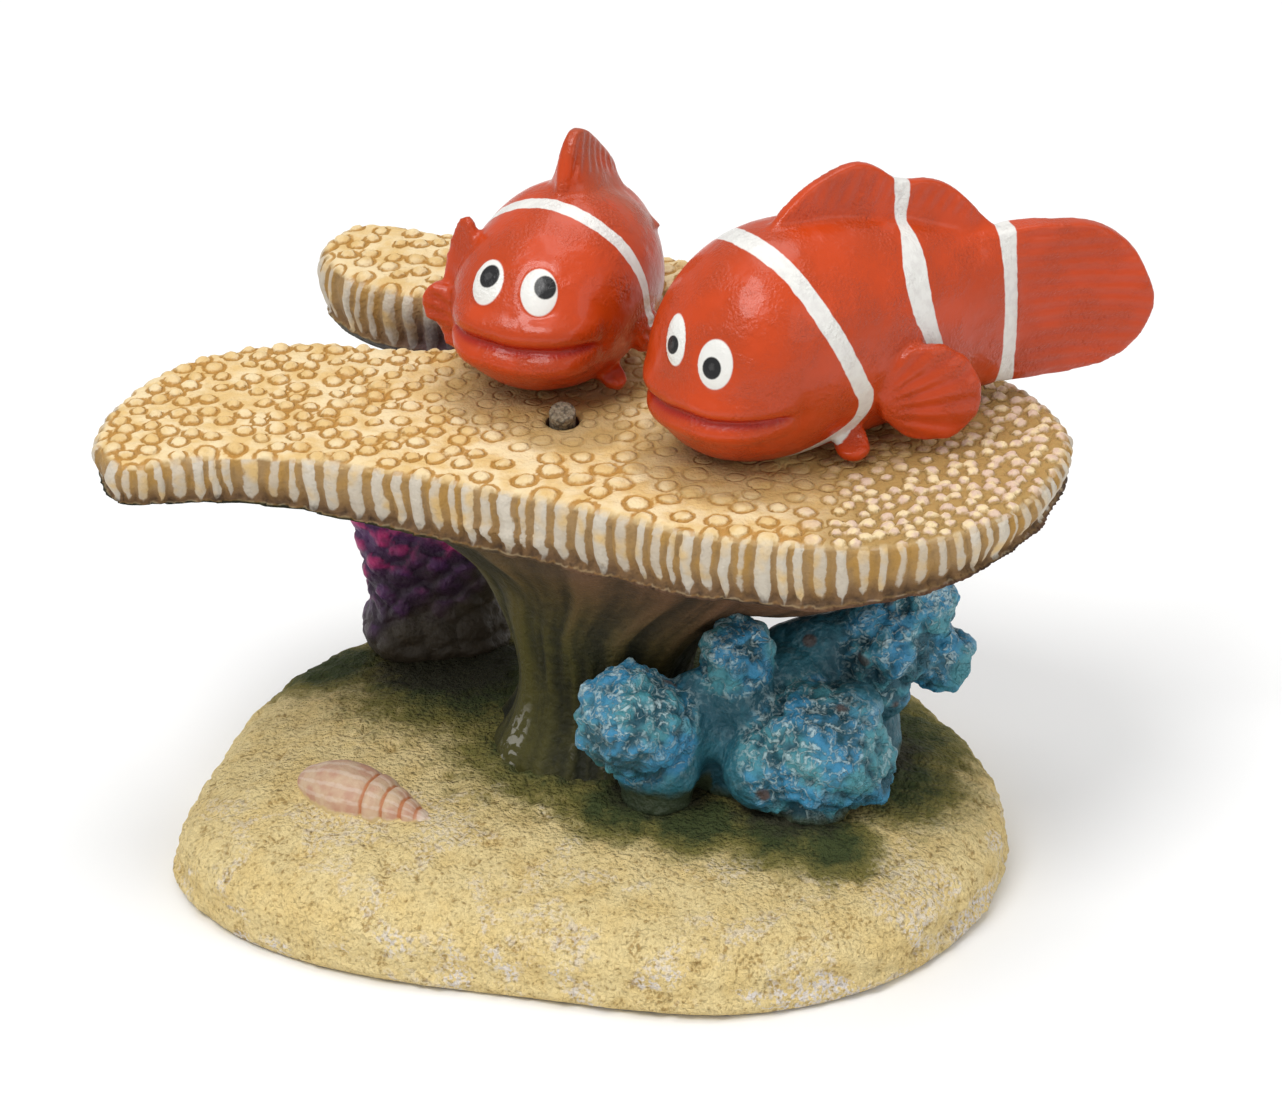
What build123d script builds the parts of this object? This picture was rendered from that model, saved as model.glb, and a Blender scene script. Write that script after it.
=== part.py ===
from build123d import *
import math
import os
from dataclasses import dataclass

# Bubbling aquarium ornament: two cast-resin clownfish resting on a table coral,
# on a hollow cast mound of sand with blue and purple coral and a spiral shell.
# Air enters by a nipple at the back of the mound, runs through a hose and a bent
# riser tube in the coral's stalk, and leaves by a small push-in air stone under
# the smaller fish's chin.
#
# Millimetres. The castings are laid out on the mound's own centre, with +X to the
# right, +Y to the back and +Z up; place() then moves them all so that the origin
# is the bottom centre of the whole ornament's box.

FRAME_SHIFT = (-5.17, -9.79, 0)
GLUE_GAP = 0.15
# how far a solid runs into the one it is added to, or past the one it cuts
OVERRUN = 1.0
# the side of a block larger than the whole ornament
REACH = 400.0

# ---- sand mound ----
SAND_TOP = 14.0
SAND_SHOULDER = 7.5
SAND_FOOT = 1.0
SAND_CAVITY_SCALE = 0.87
SAND_CAVITY_TOP = 9.0
SAND_OUTLINE = [
    (-59.5, -14), (-50, -27.5), (-34, -36.5), (-6, -43.5), (22, -47), (47, -34.5),
    (59, -12), (58.5, 9), (51, 27), (36, 43), (12, 50.5), (-15, 51.5), (-38, 45),
    (-51, 27), (-57.5, 7),
]

# ---- table coral ----
PLATE_BOTTOM = 56.0
PLATE_TOP = 66.0
PLATE_TOP_ROUND = 2.2
PLATE_OUTLINE = [
    (-70, -2), (-66.5, -7.5), (-55, -5), (-41, -5.5), (-27, -9.5), (-12.5, -15),
    (1.5, -21.5), (15, -28), (28.5, -31), (42, -31), (56, -24), (65.5, -9), (68, 4),
    (62, 19), (48, 33), (28, 42), (6, 44), (-12, 35), (-24, 31.5), (-37.5, 34),
    (-52, 32), (-62, 25.5), (-69, 12),
]
TIER_BOTTOM = 59.5
TIER_TOP = 71.0
TIER_ROUND = 3.0
TIER_UNDERCUT = 2.5
TIER_OUTLINE = [
    (-39.5, 49), (-29, 40), (-14, 39), (2, 41.5), (13, 43.5), (16, 50), (4, 55),
    (-12, 58.5), (-26, 64), (-36, 66.5), (-41, 60),
]
# where the table starts to thin from below, where its tips are, and how far they lift
LEFT_THIN_X, LEFT_TIP_X, LEFT_TIP_LIFT = -20.0, -75.0, 4.5
RIGHT_THIN_X, RIGHT_TIP_X, RIGHT_TIP_LIFT = 30.0, 75.0, 6.0
STALK_CENTRE = (2.0, 8.0)
# height, shift along X, half-width along X, half-width along Y, from the foot to the flare
STALK_SECTIONS = [
    (SAND_TOP, 0, 17, 16.5), (19, 0, 13.8, 14), (28, 0, 12.6, 13.2), (38, 2.2, 17.8, 16),
    (43, 5, 23, 18), (47, 7, 28, 20.5), (53, 8.5, 37, 25), (59.5, 9.5, 45, 29),
]
TENON_RADIUS = 12.0
TENON_DEPTH = 3.0

# ---- air line, all in the upright plane AIR_X ----
AIR_X = -4.2
AIR_Z = 6.0
RISER_Y = 11.0
RISER_RADIUS, RISER_BORE_RADIUS = 2.0, 1.3
RISER_FOOT_BEND, RISER_TOP_BEND = 3.5, 3.0
HOSE_RADIUS = 2.8
HOSE_START_Y, HOSE_END_Y = 24.0, 41.0
RISER_END_Y = 31.0
SPIGOT_END_Y = 33.0
NIPPLE_SEAT_Y = 47.0
NIPPLE_FLANGE_RADIUS, NIPPLE_FLANGE = 4.2, 2.0
NIPPLE_RADIUS, NIPPLE_LENGTH, NIPPLE_BORE_RADIUS = 2.4, 12.0, 1.4
NIPPLE_SEAT_CLEARANCE = 0.5
SEAL_THICKNESS = 1.0
STONE_MOUTH_Y = 7.0
STONE_TILT = 28.0
STONE_RADIUS, STONE_LENGTH, STONE_PROUD = 2.0, 8.0, 2.5
STONE_CLEARANCE = 0.3
STEM_RADIUS, STEM_BORE_RADIUS = 1.25, 0.7
STEM_LENGTH, STEM_IN_STONE = 4.7, 2.5

# ---- glued castings on the mound ----
PEG_RADIUS, PEG_DEPTH = 1.5, 3.0
PURPLE_CENTRE = (-25.0, 38.5)
# height above the sand, shift along X and Y, length, width and corner radius
PURPLE_SECTIONS = [(0, 1, 0, 18, 12, 5), (15, 0, -0.5, 21, 14, 6), (30, -1, -1, 23, 15, 6)]
PURPLE_TOP_ROUND = 4.0
SHELL_START = (-42.5, -4.5)
SHELL_END = (-22.5, -17.5)
SHELL_RADIUS = 5.6
SHELL_AXIS_Z = 14.2
# share of the shell's length and of its radius, along its back
SHELL_PROFILE = [(0, 0.11), (0.12, 0.72), (0.36, 1), (0.72, 0.58), (1, 0.12)]
# blue coral: x, y and foot radius of each clump's stem, then x, y, z, radius of its heads
BLUE_LEFT_STEM = (9.5, -11.5, 5.2)
BLUE_LEFT_HEADS = [(6, -13.5, 28, 7.8), (10.8, -12, 20.6, 5.2), (12.6, -10.8, 27, 5)]
BLUE_MIDDLE_STEM = (20.5, -6.5, 5.5)
BLUE_MIDDLE_HEADS = [(20.5, -8, 36, 4.8), (21, -7.5, 30, 6.2)]
BLUE_FRONT_STEM = (31, -12.5, 7)
BLUE_FRONT_HEADS = [
    (32, -13, 23.7, 9.2), (25, -13.2, 21, 6.6), (38, -12.3, 20, 5.6), (36.5, -11, 28.5, 4.8),
]
BLUE_RIGHT_STEM = (36.5, 3, 9)
BLUE_RIGHT_HEADS = [
    (43, -0.6, 33, 6.2), (49.6, 2.2, 30.5, 4.8), (47.3, 1.2, 39.3, 5.2), (41.5, -1.6, 26.5, 4.4),
    (40, 1.2, 37, 4.8), (33.2, 2.4, 27, 7),
]

# ---- fish ----
FISH_PIN_RADIUS, FISH_PIN_LENGTH = 1.2, 10.0


@dataclass
class Fish:
    """One clownfish casting: its spine is a level arc from the snout to the tail."""

    snout: tuple  # x, y of the snout's tip
    length: float  # along the spine, tail fin included
    nose_turn: float  # degrees between the spine and +X at the snout
    tail_turn: float  # the same at the end of the tail
    # distance from the snout, centre height, half-height, half-width
    sections: list
    dorsal: list  # distance from the snout, height: the back fin's outline
    tail: list  # the tail fin's outline, as for the dorsal fin
    pins: tuple  # distances from the snout of the two locating pins


LARGE_FISH = Fish(
    snout=(9.5, -12.5), length=80, nose_turn=43, tail_turn=7,
    sections=[
        (0.4, 76.8, 3.2, 4.2), (3, 78.4, 8.2, 8.4), (9, 80.7, 13.6, 12.5), (18, 82, 16.7, 14.5),
        (28, 82.2, 16.8, 13.7), (40, 81.5, 15.4, 10.8), (50, 80.8, 13, 7.4), (59, 80.4, 11, 4),
    ],
    dorsal=[
        (15, 92), (19, 98.5), (24, 103), (29.3, 105.3), (34, 106), (37.2, 104.6), (40, 102.4),
        (45, 101.6), (48, 100.5), (52, 96.8), (55, 92.5), (54, 86), (36, 88), (22, 88),
    ],
    tail=[
        (54, 84), (56, 92), (69.5, 91.9), (76.4, 87.2), (80, 79.3), (77.1, 72.5), (68, 69),
        (58, 68.6), (54, 76),
    ],
    pins=(18, 32),
)
SMALL_FISH = Fish(
    snout=(-12.5, 7.5), length=44, nose_turn=66, tail_turn=56,
    sections=[
        (0, 75.8, 3, 4.6), (3, 76.8, 6.8, 9), (8, 78.3, 10.6, 12.2), (15, 79.5, 13.5, 13.8),
        (22, 80.2, 13.9, 13.5), (29, 80.2, 11.8, 11), (35, 80, 9, 6),
    ],
    dorsal=[
        (13, 90), (17, 94.5), (20, 100), (23, 102.2), (26, 100.6), (31, 95.3), (34, 91.5),
        (33, 86), (21, 86),
    ],
    tail=[
        (31, 81), (32, 83), (38, 83.6), (43, 81.6), (44, 78.5), (43, 74.5), (38, 72),
        (32, 73.5), (31, 77),
    ],
    pins=(14, 24),
)
FIN_HALF = 1.5
SIDE_FIN_HALF = 0.9
# how far a side fin's root is sunk in the flank
SIDE_FIN_SUNK = 2.5
# a side fin's outline, along and across, in units of its radius
SIDE_FIN_SHAPE = [
    (0, 0.18), (0.7, 0.62), (1.35, 0.45), (1.5, -0.1), (1.1, -0.6), (0.5, -0.5), (0, -0.18),
]


@dataclass
class SideFin:
    """A fan-shaped fin on one flank, leaning out and back from its root."""

    root: float  # distance of the root from the snout
    height: float
    side: int  # 1 for the fish's left, -1 for its right
    spread: float  # degrees that it stands out from the flank
    droop: float  # degrees that it slopes down
    radius: float


LARGE_SIDE_FINS = [
    SideFin(30, 76.5, 1, 24, 6, 10.5), SideFin(30, 76, -1, 28, 8, 8),
    SideFin(24, 70.5, 1, 40, 18, 5.5), SideFin(24, 70.5, -1, 40, 18, 5.5),
]
SMALL_SIDE_FINS = [SideFin(11, 80, -1, 62, 25, 6.5), SideFin(18, 71.5, 1, 20, 5, 5)]


def disc_stack(outline, low, high):
    """A flat slab with a smooth closed outline, between two heights."""
    face = make_face(Spline(*outline, periodic=True))
    return Pos(0, 0, low) * extrude(face, high - low)


def below(height):
    """Everything under a height."""
    return Pos(0, 0, height - REACH / 2) * Box(REACH, REACH, REACH)


def cylinder_between(start, end, radius):
    """A plain cylinder from one point to another."""
    axis = Vector(*end) - Vector(*start)
    plane = Plane(origin=start, z_dir=axis)
    return plane * Cylinder(radius, axis.length, align=(Align.CENTER, Align.CENTER, Align.MIN))


def upright(x, y, low, high, radius):
    """A vertical cylinder."""
    return cylinder_between((x, y, low), (x, y, high), radius)


def peg_and_socket(x, y):
    """The moulded peg under a glued casting, and the hole it goes into."""
    top = SAND_TOP + OVERRUN
    peg = upright(x, y, SAND_TOP - PEG_DEPTH, top, PEG_RADIUS)
    socket = upright(x, y, SAND_TOP - PEG_DEPTH - GLUE_GAP, top, PEG_RADIUS + GLUE_GAP)
    return peg, socket


def air_cylinder(start_y, end_y, radius):
    """A level cylinder on the air line's axis, front to back."""
    return cylinder_between((AIR_X, start_y, AIR_Z), (AIR_X, end_y, AIR_Z), radius)


def stone_point(distance):
    """The point on the air stone's axis that far out of the socket's mouth."""
    tilt = math.radians(STONE_TILT)
    return (AIR_X, STONE_MOUTH_Y - distance * math.sin(tilt), PLATE_TOP + distance * math.cos(tilt))


def stone_cylinder(low, high, radius):
    """A cylinder on the air stone's axis, between two distances from the mouth."""
    return cylinder_between(stone_point(low), stone_point(high), radius)


def riser_route():
    """The riser's centre line: in from the hose, up the stalk, and over to the stone."""
    tilt = math.radians(STONE_TILT)
    corner_z = PLATE_TOP - (RISER_Y - STONE_MOUTH_Y) / math.tan(tilt)
    return FilletPolyline(
        (AIR_X, RISER_END_Y, AIR_Z),
        (AIR_X, RISER_Y, AIR_Z),
        (AIR_X, RISER_Y, corner_z),
        stone_point(STONE_PROUD - STONE_LENGTH - STONE_CLEARANCE),
        radius=[RISER_FOOT_BEND, RISER_TOP_BEND],
    )


def along_riser(radius):
    """A solid rod of that radius along the riser's route."""
    route = riser_route()
    start = Plane(origin=route @ 0, z_dir=route % 0)
    return sweep(start * Circle(radius), path=route)


def sand_mound(peg_places):
    """The hollow mound, with sockets for what stands on it and a seat for the nipple."""
    mound = disc_stack(SAND_OUTLINE, 0, SAND_TOP)
    mound = fillet(mound.edges().group_by(Axis.Z)[-1], SAND_SHOULDER)
    mound = fillet(mound.edges().group_by(Axis.Z)[0], SAND_FOOT)
    inner = [(x * SAND_CAVITY_SCALE, y * SAND_CAVITY_SCALE) for x, y in SAND_OUTLINE]
    mound -= disc_stack(inner, -OVERRUN, SAND_CAVITY_TOP)
    sx, sy = STALK_CENTRE
    floor = SAND_TOP - TENON_DEPTH - GLUE_GAP
    mound -= upright(sx, sy, floor, SAND_TOP + OVERRUN, TENON_RADIUS + GLUE_GAP)
    mound -= upright(AIR_X, RISER_Y, 0, SAND_TOP, RISER_RADIUS + GLUE_GAP)
    for x, y in peg_places:
        mound -= peg_and_socket(x, y)[1]
    outside = NIPPLE_SEAT_Y + NIPPLE_LENGTH
    mound -= air_cylinder(HOSE_END_Y, outside, NIPPLE_RADIUS + GLUE_GAP)
    mound -= air_cylinder(NIPPLE_SEAT_Y, outside, NIPPLE_FLANGE_RADIUS + NIPPLE_SEAT_CLEARANCE)
    return mound


def lifted_tips():
    """The wedges that thin the table from below towards its left and right ends."""
    wedges = []
    for start, tip, lift in (
        (LEFT_THIN_X, LEFT_TIP_X, LEFT_TIP_LIFT),
        (RIGHT_THIN_X, RIGHT_TIP_X, RIGHT_TIP_LIFT),
    ):
        low = PLATE_BOTTOM - lift
        profile = Polyline(
            (start, PLATE_BOTTOM), (tip, PLATE_BOTTOM + lift), (tip, low), (start, low), close=True
        )
        wedges.append(extrude(Plane.XZ * make_face(profile), REACH / 2, both=True))
    return wedges


def coral_stalk():
    """The stalk, flaring from its waist into the table's underside."""
    x, y = STALK_CENTRE
    return loft([Pos(x + shift, y, z) * Ellipse(rx, ry) for z, shift, rx, ry in STALK_SECTIONS])


def table_coral(pin_places):
    """The coral table, its higher back tier and its stalk: one casting."""
    table = disc_stack(PLATE_OUTLINE, PLATE_BOTTOM, PLATE_TOP)
    table = fillet(table.edges().group_by(Axis.Z)[-1], PLATE_TOP_ROUND)
    for wedge in lifted_tips():
        table -= wedge
    tier = disc_stack(TIER_OUTLINE, TIER_BOTTOM, TIER_TOP)
    tier = fillet(tier.edges().group_by(Axis.Z)[-1], TIER_ROUND)
    tier = chamfer(tier.edges().group_by(Axis.Z)[0], TIER_UNDERCUT)
    coral = table + tier + coral_stalk()
    sx, sy = STALK_CENTRE
    coral += upright(sx, sy, SAND_TOP - TENON_DEPTH, SAND_TOP + OVERRUN, TENON_RADIUS)
    coral -= along_riser(RISER_RADIUS + GLUE_GAP)
    socket_floor = STONE_PROUD - STONE_LENGTH - STONE_CLEARANCE
    coral -= stone_cylinder(socket_floor, PLATE_TOP_ROUND * 2, STONE_RADIUS + STONE_CLEARANCE)
    for x, y, floor in pin_places:
        coral -= upright(x, y, floor - FISH_PIN_LENGTH / 2, floor + OVERRUN, FISH_PIN_RADIUS)
    return coral


def spine_angle(fish, distance):
    """The spine's direction, in radians from +X, that far from the snout."""
    share = distance / fish.length
    return math.radians(fish.nose_turn + (fish.tail_turn - fish.nose_turn) * share)


def spine_point(fish, distance):
    """The x, y of the spine that far from the snout, on its arc."""
    start, end = spine_angle(fish, 0), spine_angle(fish, distance)
    radius = fish.length / (spine_angle(fish, fish.length) - start)
    x, y = fish.snout
    return (
        x + radius * (math.sin(end) - math.sin(start)),
        y - radius * (math.cos(end) - math.cos(start)),
    )


def fish_section(fish, distance, height, half_height, half_width):
    """One upright elliptical section across the spine."""
    x, y = spine_point(fish, distance)
    turn = spine_angle(fish, distance)
    plane = Plane(
        origin=(x, y, height),
        x_dir=(-math.sin(turn), math.cos(turn), 0),
        z_dir=(math.cos(turn), math.sin(turn), 0),
    )
    return plane * Ellipse(half_width, half_height)


def upright_fin(fish, outline, half_thickness):
    """A fin that stands in the spine's plane, such as the dorsal or the tail fin."""
    middle = sum(distance for distance, _ in outline) / len(outline)
    x, y = spine_point(fish, middle)
    turn = spine_angle(fish, middle)
    plane = Plane(
        origin=(x, y, 0),
        x_dir=(math.cos(turn), math.sin(turn), 0),
        z_dir=(math.sin(turn), -math.cos(turn), 0),
    )
    points = [(distance - middle, height) for distance, height in outline]
    face = make_face(Spline(*points, periodic=True))
    return extrude(plane * face, half_thickness, both=True)


def side_fin(fish, fin):
    """One side fin, from its root in the flank."""
    x, y = spine_point(fish, fin.root)
    turn = spine_angle(fish, fin.root)
    spread, droop = math.radians(fin.spread), math.radians(fin.droop)
    half_width = next(width for distance, _, _, width in fish.sections if distance >= fin.root)
    out = Vector(math.sin(turn), -math.cos(turn), 0) * fin.side
    back = Vector(math.cos(turn), math.sin(turn), 0)
    start = Vector(x, y, fin.height) + out * (half_width - SIDE_FIN_SUNK)
    level = back * math.cos(spread) + out * math.sin(spread)
    along = (level + Vector(0, 0, -math.tan(droop))).normalized()
    plane = Plane(origin=start, x_dir=along, z_dir=along.cross(Vector(0, 0, 1)).normalized())
    fan = [(fin.radius * a, fin.radius * b) for a, b in SIDE_FIN_SHAPE]
    return extrude(plane * make_face(Spline(*fan, periodic=True)), SIDE_FIN_HALF, both=True)


def fish_casting(fish, fins):
    """A whole fish, flat underneath where it is glued to the table, with its pin holes."""
    body = loft([fish_section(fish, *section) for section in fish.sections])
    body += upright_fin(fish, fish.dorsal, FIN_HALF)
    body += upright_fin(fish, fish.tail, FIN_HALF)
    for fin in fins:
        body += side_fin(fish, fin)
    body -= below(PLATE_TOP)
    for x, y, floor in pin_places(fish):
        body -= upright(x, y, floor - OVERRUN, floor + FISH_PIN_LENGTH / 2, FISH_PIN_RADIUS)
    return body


def pin_places(fish):
    """x, y and height of the glued face at each of a fish's locating pins."""
    return [(*spine_point(fish, distance), PLATE_TOP) for distance in fish.pins]


def fish_pins(fish):
    """The two rods that locate a fish on the table."""
    half = FISH_PIN_LENGTH / 2
    return Compound([upright(x, y, z - half, z + half, FISH_PIN_RADIUS) for x, y, z in pin_places(fish)])


def blue_clump(stem, heads):
    """One clump of blue coral: rounded heads on a short stem that narrows upwards."""
    x, y, radius = stem
    lowest = min(head[2] for head in heads)
    clump = loft([Pos(x, y, SAND_TOP) * Circle(radius), Pos(x, y, lowest) * Circle(radius * 0.8)])
    for hx, hy, hz, hr in heads:
        clump += Pos(hx, hy, hz) * Sphere(hr)
    return clump


def purple_coral():
    """An upright block of plated coral that widens upwards."""
    x, y = PURPLE_CENTRE
    block = loft([
        Pos(x + dx, y + dy, SAND_TOP + rise) * RectangleRounded(length, width, corner)
        for rise, dx, dy, length, width, corner in PURPLE_SECTIONS
    ])
    return fillet(block.edges().group_by(Axis.Z)[-1], PURPLE_TOP_ROUND)


def spiral_shell():
    """A half-buried spindle shell, lying on the sand."""
    (x0, y0), (x1, y1) = SHELL_START, SHELL_END
    length = math.hypot(x1 - x0, y1 - y0)
    back = [(length * along, SHELL_RADIUS * out) for along, out in SHELL_PROFILE]
    profile = make_face(Spline(*back) + Polyline(back[-1], (length, 0), (0, 0), back[0]))
    spindle = revolve(profile, Axis.X)
    turn = math.degrees(math.atan2(y1 - y0, x1 - x0))
    shell = Pos(x0, y0, SHELL_AXIS_Z) * Rot(0, 0, turn) * spindle
    return shell - below(SAND_TOP)


def riser_tube():
    """The rigid tube from the hose, up through the stalk, to the air stone's socket."""
    return along_riser(RISER_RADIUS) - along_riser(RISER_BORE_RADIUS)


def air_hose():
    """The soft hose from the riser's lower end to the nipple's spigot."""
    outside = air_cylinder(HOSE_START_Y, HOSE_END_Y, HOSE_RADIUS)
    return outside - air_cylinder(HOSE_START_Y - OVERRUN, HOSE_END_Y + OVERRUN, RISER_RADIUS)


def inlet_nipple():
    """The airline nipple: stub outside, flange, and a spigot for the hose inside."""
    face = NIPPLE_SEAT_Y + SEAL_THICKNESS
    end = face + NIPPLE_FLANGE + NIPPLE_LENGTH
    nipple = air_cylinder(face, face + NIPPLE_FLANGE, NIPPLE_FLANGE_RADIUS)
    nipple += air_cylinder(HOSE_END_Y, end, NIPPLE_RADIUS)
    nipple += air_cylinder(SPIGOT_END_Y, HOSE_END_Y, RISER_RADIUS)
    return nipple - air_cylinder(SPIGOT_END_Y - OVERRUN, end + OVERRUN, NIPPLE_BORE_RADIUS)


def inlet_seal():
    """The rubber washer between the nipple's flange and the mound."""
    back = NIPPLE_SEAT_Y + SEAL_THICKNESS
    washer = air_cylinder(NIPPLE_SEAT_Y, back, NIPPLE_FLANGE_RADIUS)
    return washer - air_cylinder(NIPPLE_SEAT_Y - OVERRUN, back + OVERRUN, NIPPLE_RADIUS)


def diffuser_stone():
    """The push-in air stone, standing a little proud of its socket."""
    low = STONE_PROUD - STONE_LENGTH
    stone = stone_cylinder(low, STONE_PROUD, STONE_RADIUS)
    return stone - stone_cylinder(low - OVERRUN, low + STEM_IN_STONE, STEM_RADIUS)


def diffuser_stem():
    """The stone's hollow stem, a running fit in the riser's bore."""
    high = STONE_PROUD - STONE_LENGTH + STEM_IN_STONE
    stem = stone_cylinder(high - STEM_LENGTH, high, STEM_RADIUS)
    return stem - stone_cylinder(high - STEM_LENGTH - OVERRUN, high + OVERRUN, STEM_BORE_RADIUS)


def place(shape):
    """Moves a casting from the mound's centre to the ornament's own frame."""
    return Pos(*FRAME_SHIFT) * shape


def with_peg(casting, place_xy):
    """Adds the moulded peg under a casting."""
    return casting + peg_and_socket(*place_xy)[0]


def build():
    """Every piece of the ornament, by node name, in the mound's frame."""
    coral = table_coral(pin_places(LARGE_FISH) + pin_places(SMALL_FISH))
    front = blue_clump(BLUE_FRONT_STEM, BLUE_FRONT_HEADS)
    right = blue_clump(BLUE_RIGHT_STEM, BLUE_RIGHT_HEADS) - front
    middle = blue_clump(BLUE_MIDDLE_STEM, BLUE_MIDDLE_HEADS) - front - right - coral
    left = blue_clump(BLUE_LEFT_STEM, BLUE_LEFT_HEADS) - middle - coral
    stems = (BLUE_LEFT_STEM, BLUE_MIDDLE_STEM, BLUE_FRONT_STEM, BLUE_RIGHT_STEM)
    pegs = [(x, y) for x, y, _ in stems]
    return {
        "sand_base": sand_mound([*pegs, PURPLE_CENTRE]),
        "table_coral": coral,
        "large_clownfish": fish_casting(LARGE_FISH, LARGE_SIDE_FINS),
        "small_clownfish": fish_casting(SMALL_FISH, SMALL_SIDE_FINS),
        "large_fish_pins": fish_pins(LARGE_FISH),
        "small_fish_pins": fish_pins(SMALL_FISH),
        "blue_coral_left": with_peg(left, pegs[0]),
        "blue_coral_middle": with_peg(middle, pegs[1]),
        "blue_coral_front": with_peg(front, pegs[2]),
        "blue_coral_right": with_peg(right, pegs[3]),
        "purple_coral": with_peg(purple_coral(), PURPLE_CENTRE),
        "spiral_shell": spiral_shell(),
        "riser_tube": riser_tube(),
        "air_hose": air_hose(),
        "inlet_nipple": inlet_nipple(),
        "inlet_seal": inlet_seal(),
        "diffuser_stone": diffuser_stone(),
        "diffuser_stem": diffuser_stem(),
    }


def main():
    """Writes one STEP file for each piece and prints the ornament's box."""
    os.makedirs("parts", exist_ok=True)
    placed = {name: place(shape) for name, shape in build().items()}
    for name, shape in placed.items():
        export_step(shape, f"parts/{name}.step")
    box = Compound(list(placed.values())).bounding_box()
    print("box", box.min, box.max)
    face_y = NIPPLE_SEAT_Y + SEAL_THICKNESS + NIPPLE_FLANGE
    print("airline stub starts at", [a + b for a, b in zip((AIR_X, face_y, AIR_Z), FRAME_SHIFT)])
    print("stone mouth at", [a + b for a, b in zip(stone_point(0), FRAME_SHIFT)])


main()
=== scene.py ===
"""Bubbling reef ornament: two painted clownfish on a table coral, over a mound of sand."""

import logging
import math
from dataclasses import dataclass, field
from enum import Enum
from typing import Callable, Sequence

import bpy
import numpy as np
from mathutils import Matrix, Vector
from mathutils.kdtree import KDTree


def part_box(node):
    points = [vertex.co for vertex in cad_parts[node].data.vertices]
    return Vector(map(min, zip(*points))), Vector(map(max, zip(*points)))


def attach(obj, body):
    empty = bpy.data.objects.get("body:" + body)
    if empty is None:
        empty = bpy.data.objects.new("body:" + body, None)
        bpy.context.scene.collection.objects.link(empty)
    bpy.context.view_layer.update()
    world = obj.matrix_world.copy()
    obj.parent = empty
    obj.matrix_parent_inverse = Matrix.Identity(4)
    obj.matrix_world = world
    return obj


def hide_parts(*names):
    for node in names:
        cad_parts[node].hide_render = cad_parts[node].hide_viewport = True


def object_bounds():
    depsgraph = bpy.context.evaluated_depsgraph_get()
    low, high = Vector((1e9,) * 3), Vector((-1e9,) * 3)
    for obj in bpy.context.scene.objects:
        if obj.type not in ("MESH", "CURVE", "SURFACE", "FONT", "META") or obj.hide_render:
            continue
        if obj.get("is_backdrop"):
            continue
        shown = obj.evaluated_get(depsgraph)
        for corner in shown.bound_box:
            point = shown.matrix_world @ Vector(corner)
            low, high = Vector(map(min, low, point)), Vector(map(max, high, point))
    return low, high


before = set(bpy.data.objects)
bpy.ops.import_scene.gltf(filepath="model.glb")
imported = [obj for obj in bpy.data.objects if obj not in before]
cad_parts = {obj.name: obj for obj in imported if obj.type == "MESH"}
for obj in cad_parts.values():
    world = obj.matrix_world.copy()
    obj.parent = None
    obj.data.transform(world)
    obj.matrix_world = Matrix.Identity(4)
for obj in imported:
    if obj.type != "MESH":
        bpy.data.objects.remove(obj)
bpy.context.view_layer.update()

LOG = logging.getLogger("ornament")
MM = 0.001
# The mound's own centre, in millimetres in the frame: the castings are laid out on it.
MOULD_CENTRE = np.array((-5.17, -9.79, 0.0))
SAND_TOP = 14.0
PLATE_TOP = 66.0
PLATE_BOTTOM = 56.0
TIER_TOP = 71.0
STALK_XY = (2.0, 8.0)
# where the air stone comes out of the table, and how it moves forward for each mm up
SOCKET_XY = np.array((-4.2, 7.0))
SOCKET_SLOPE = 0.53
# the most that a measure noted for the paint can be
FAR = 3.0


class Body(Enum):
    """The CAD bodies that pieces ride on."""

    ORNAMENT = "ornament"
    DIFFUSER = "diffuser"


# ---------------------------------------------------------------- shapes in numbers


class Noise:
    """Smooth seeded lattice noise between -1 and 1."""

    CELLS = 32

    def __init__(self, seed: int) -> None:
        """Fills the lattice.

        Args:
            seed: what makes one noise differ from another.
        """
        self.lattice = np.random.default_rng(seed).uniform(-1, 1, (self.CELLS,) * 3)

    def _layer(self, points: np.ndarray) -> np.ndarray:
        """One octave of the noise, at points in lattice cells."""
        cell = np.floor(points).astype(int)
        share = points - cell
        share = share * share * (3 - 2 * share)
        total = np.zeros(len(points))
        for corner in np.ndindex(2, 2, 2):
            weight = np.prod(np.where(np.array(corner) == 1, share, 1 - share), axis=1)
            index = (cell + corner) % self.CELLS
            total += weight * self.lattice[index[:, 0], index[:, 1], index[:, 2]]
        return total

    def at(self, points: np.ndarray, size: float, octaves: int = 1) -> np.ndarray:
        """The noise at some points.

        Args:
            points: an array of places.
            size: the width of the largest bump.
            octaves: how many finer layers are added, each half as strong.

        Returns:
            One value between -1 and 1 for each point.
        """
        total, weights = np.zeros(len(points)), 0.0
        for octave in range(octaves):
            total += 0.5**octave * self._layer(points * (2**octave / size) + 7.3 * octave)
            weights += 0.5**octave
        return total / weights


class Nearest:
    """Finds the closest of some places."""

    def __init__(self, places: np.ndarray) -> None:
        """Sorts the places into a tree.

        Args:
            places: an array of two or three coordinates each.
        """
        self.tree = KDTree(len(places))
        for index, place in enumerate(places):
            self.tree.insert((place[0], place[1], place[2] if len(place) > 2 else 0.0), index)
        self.tree.balance()

    def find(self, points: np.ndarray) -> tuple[np.ndarray, np.ndarray]:
        """The closest place to each point.

        Args:
            points: an array of points with as many coordinates as the places.

        Returns:
            The places' indexes and their distances.
        """
        indexes, distances = np.zeros(len(points), int), np.zeros(len(points))
        for row, point in enumerate(points):
            where = (point[0], point[1], point[2] if len(point) > 2 else 0.0)
            _, indexes[row], distances[row] = self.tree.find(where)
        return indexes, distances


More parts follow.
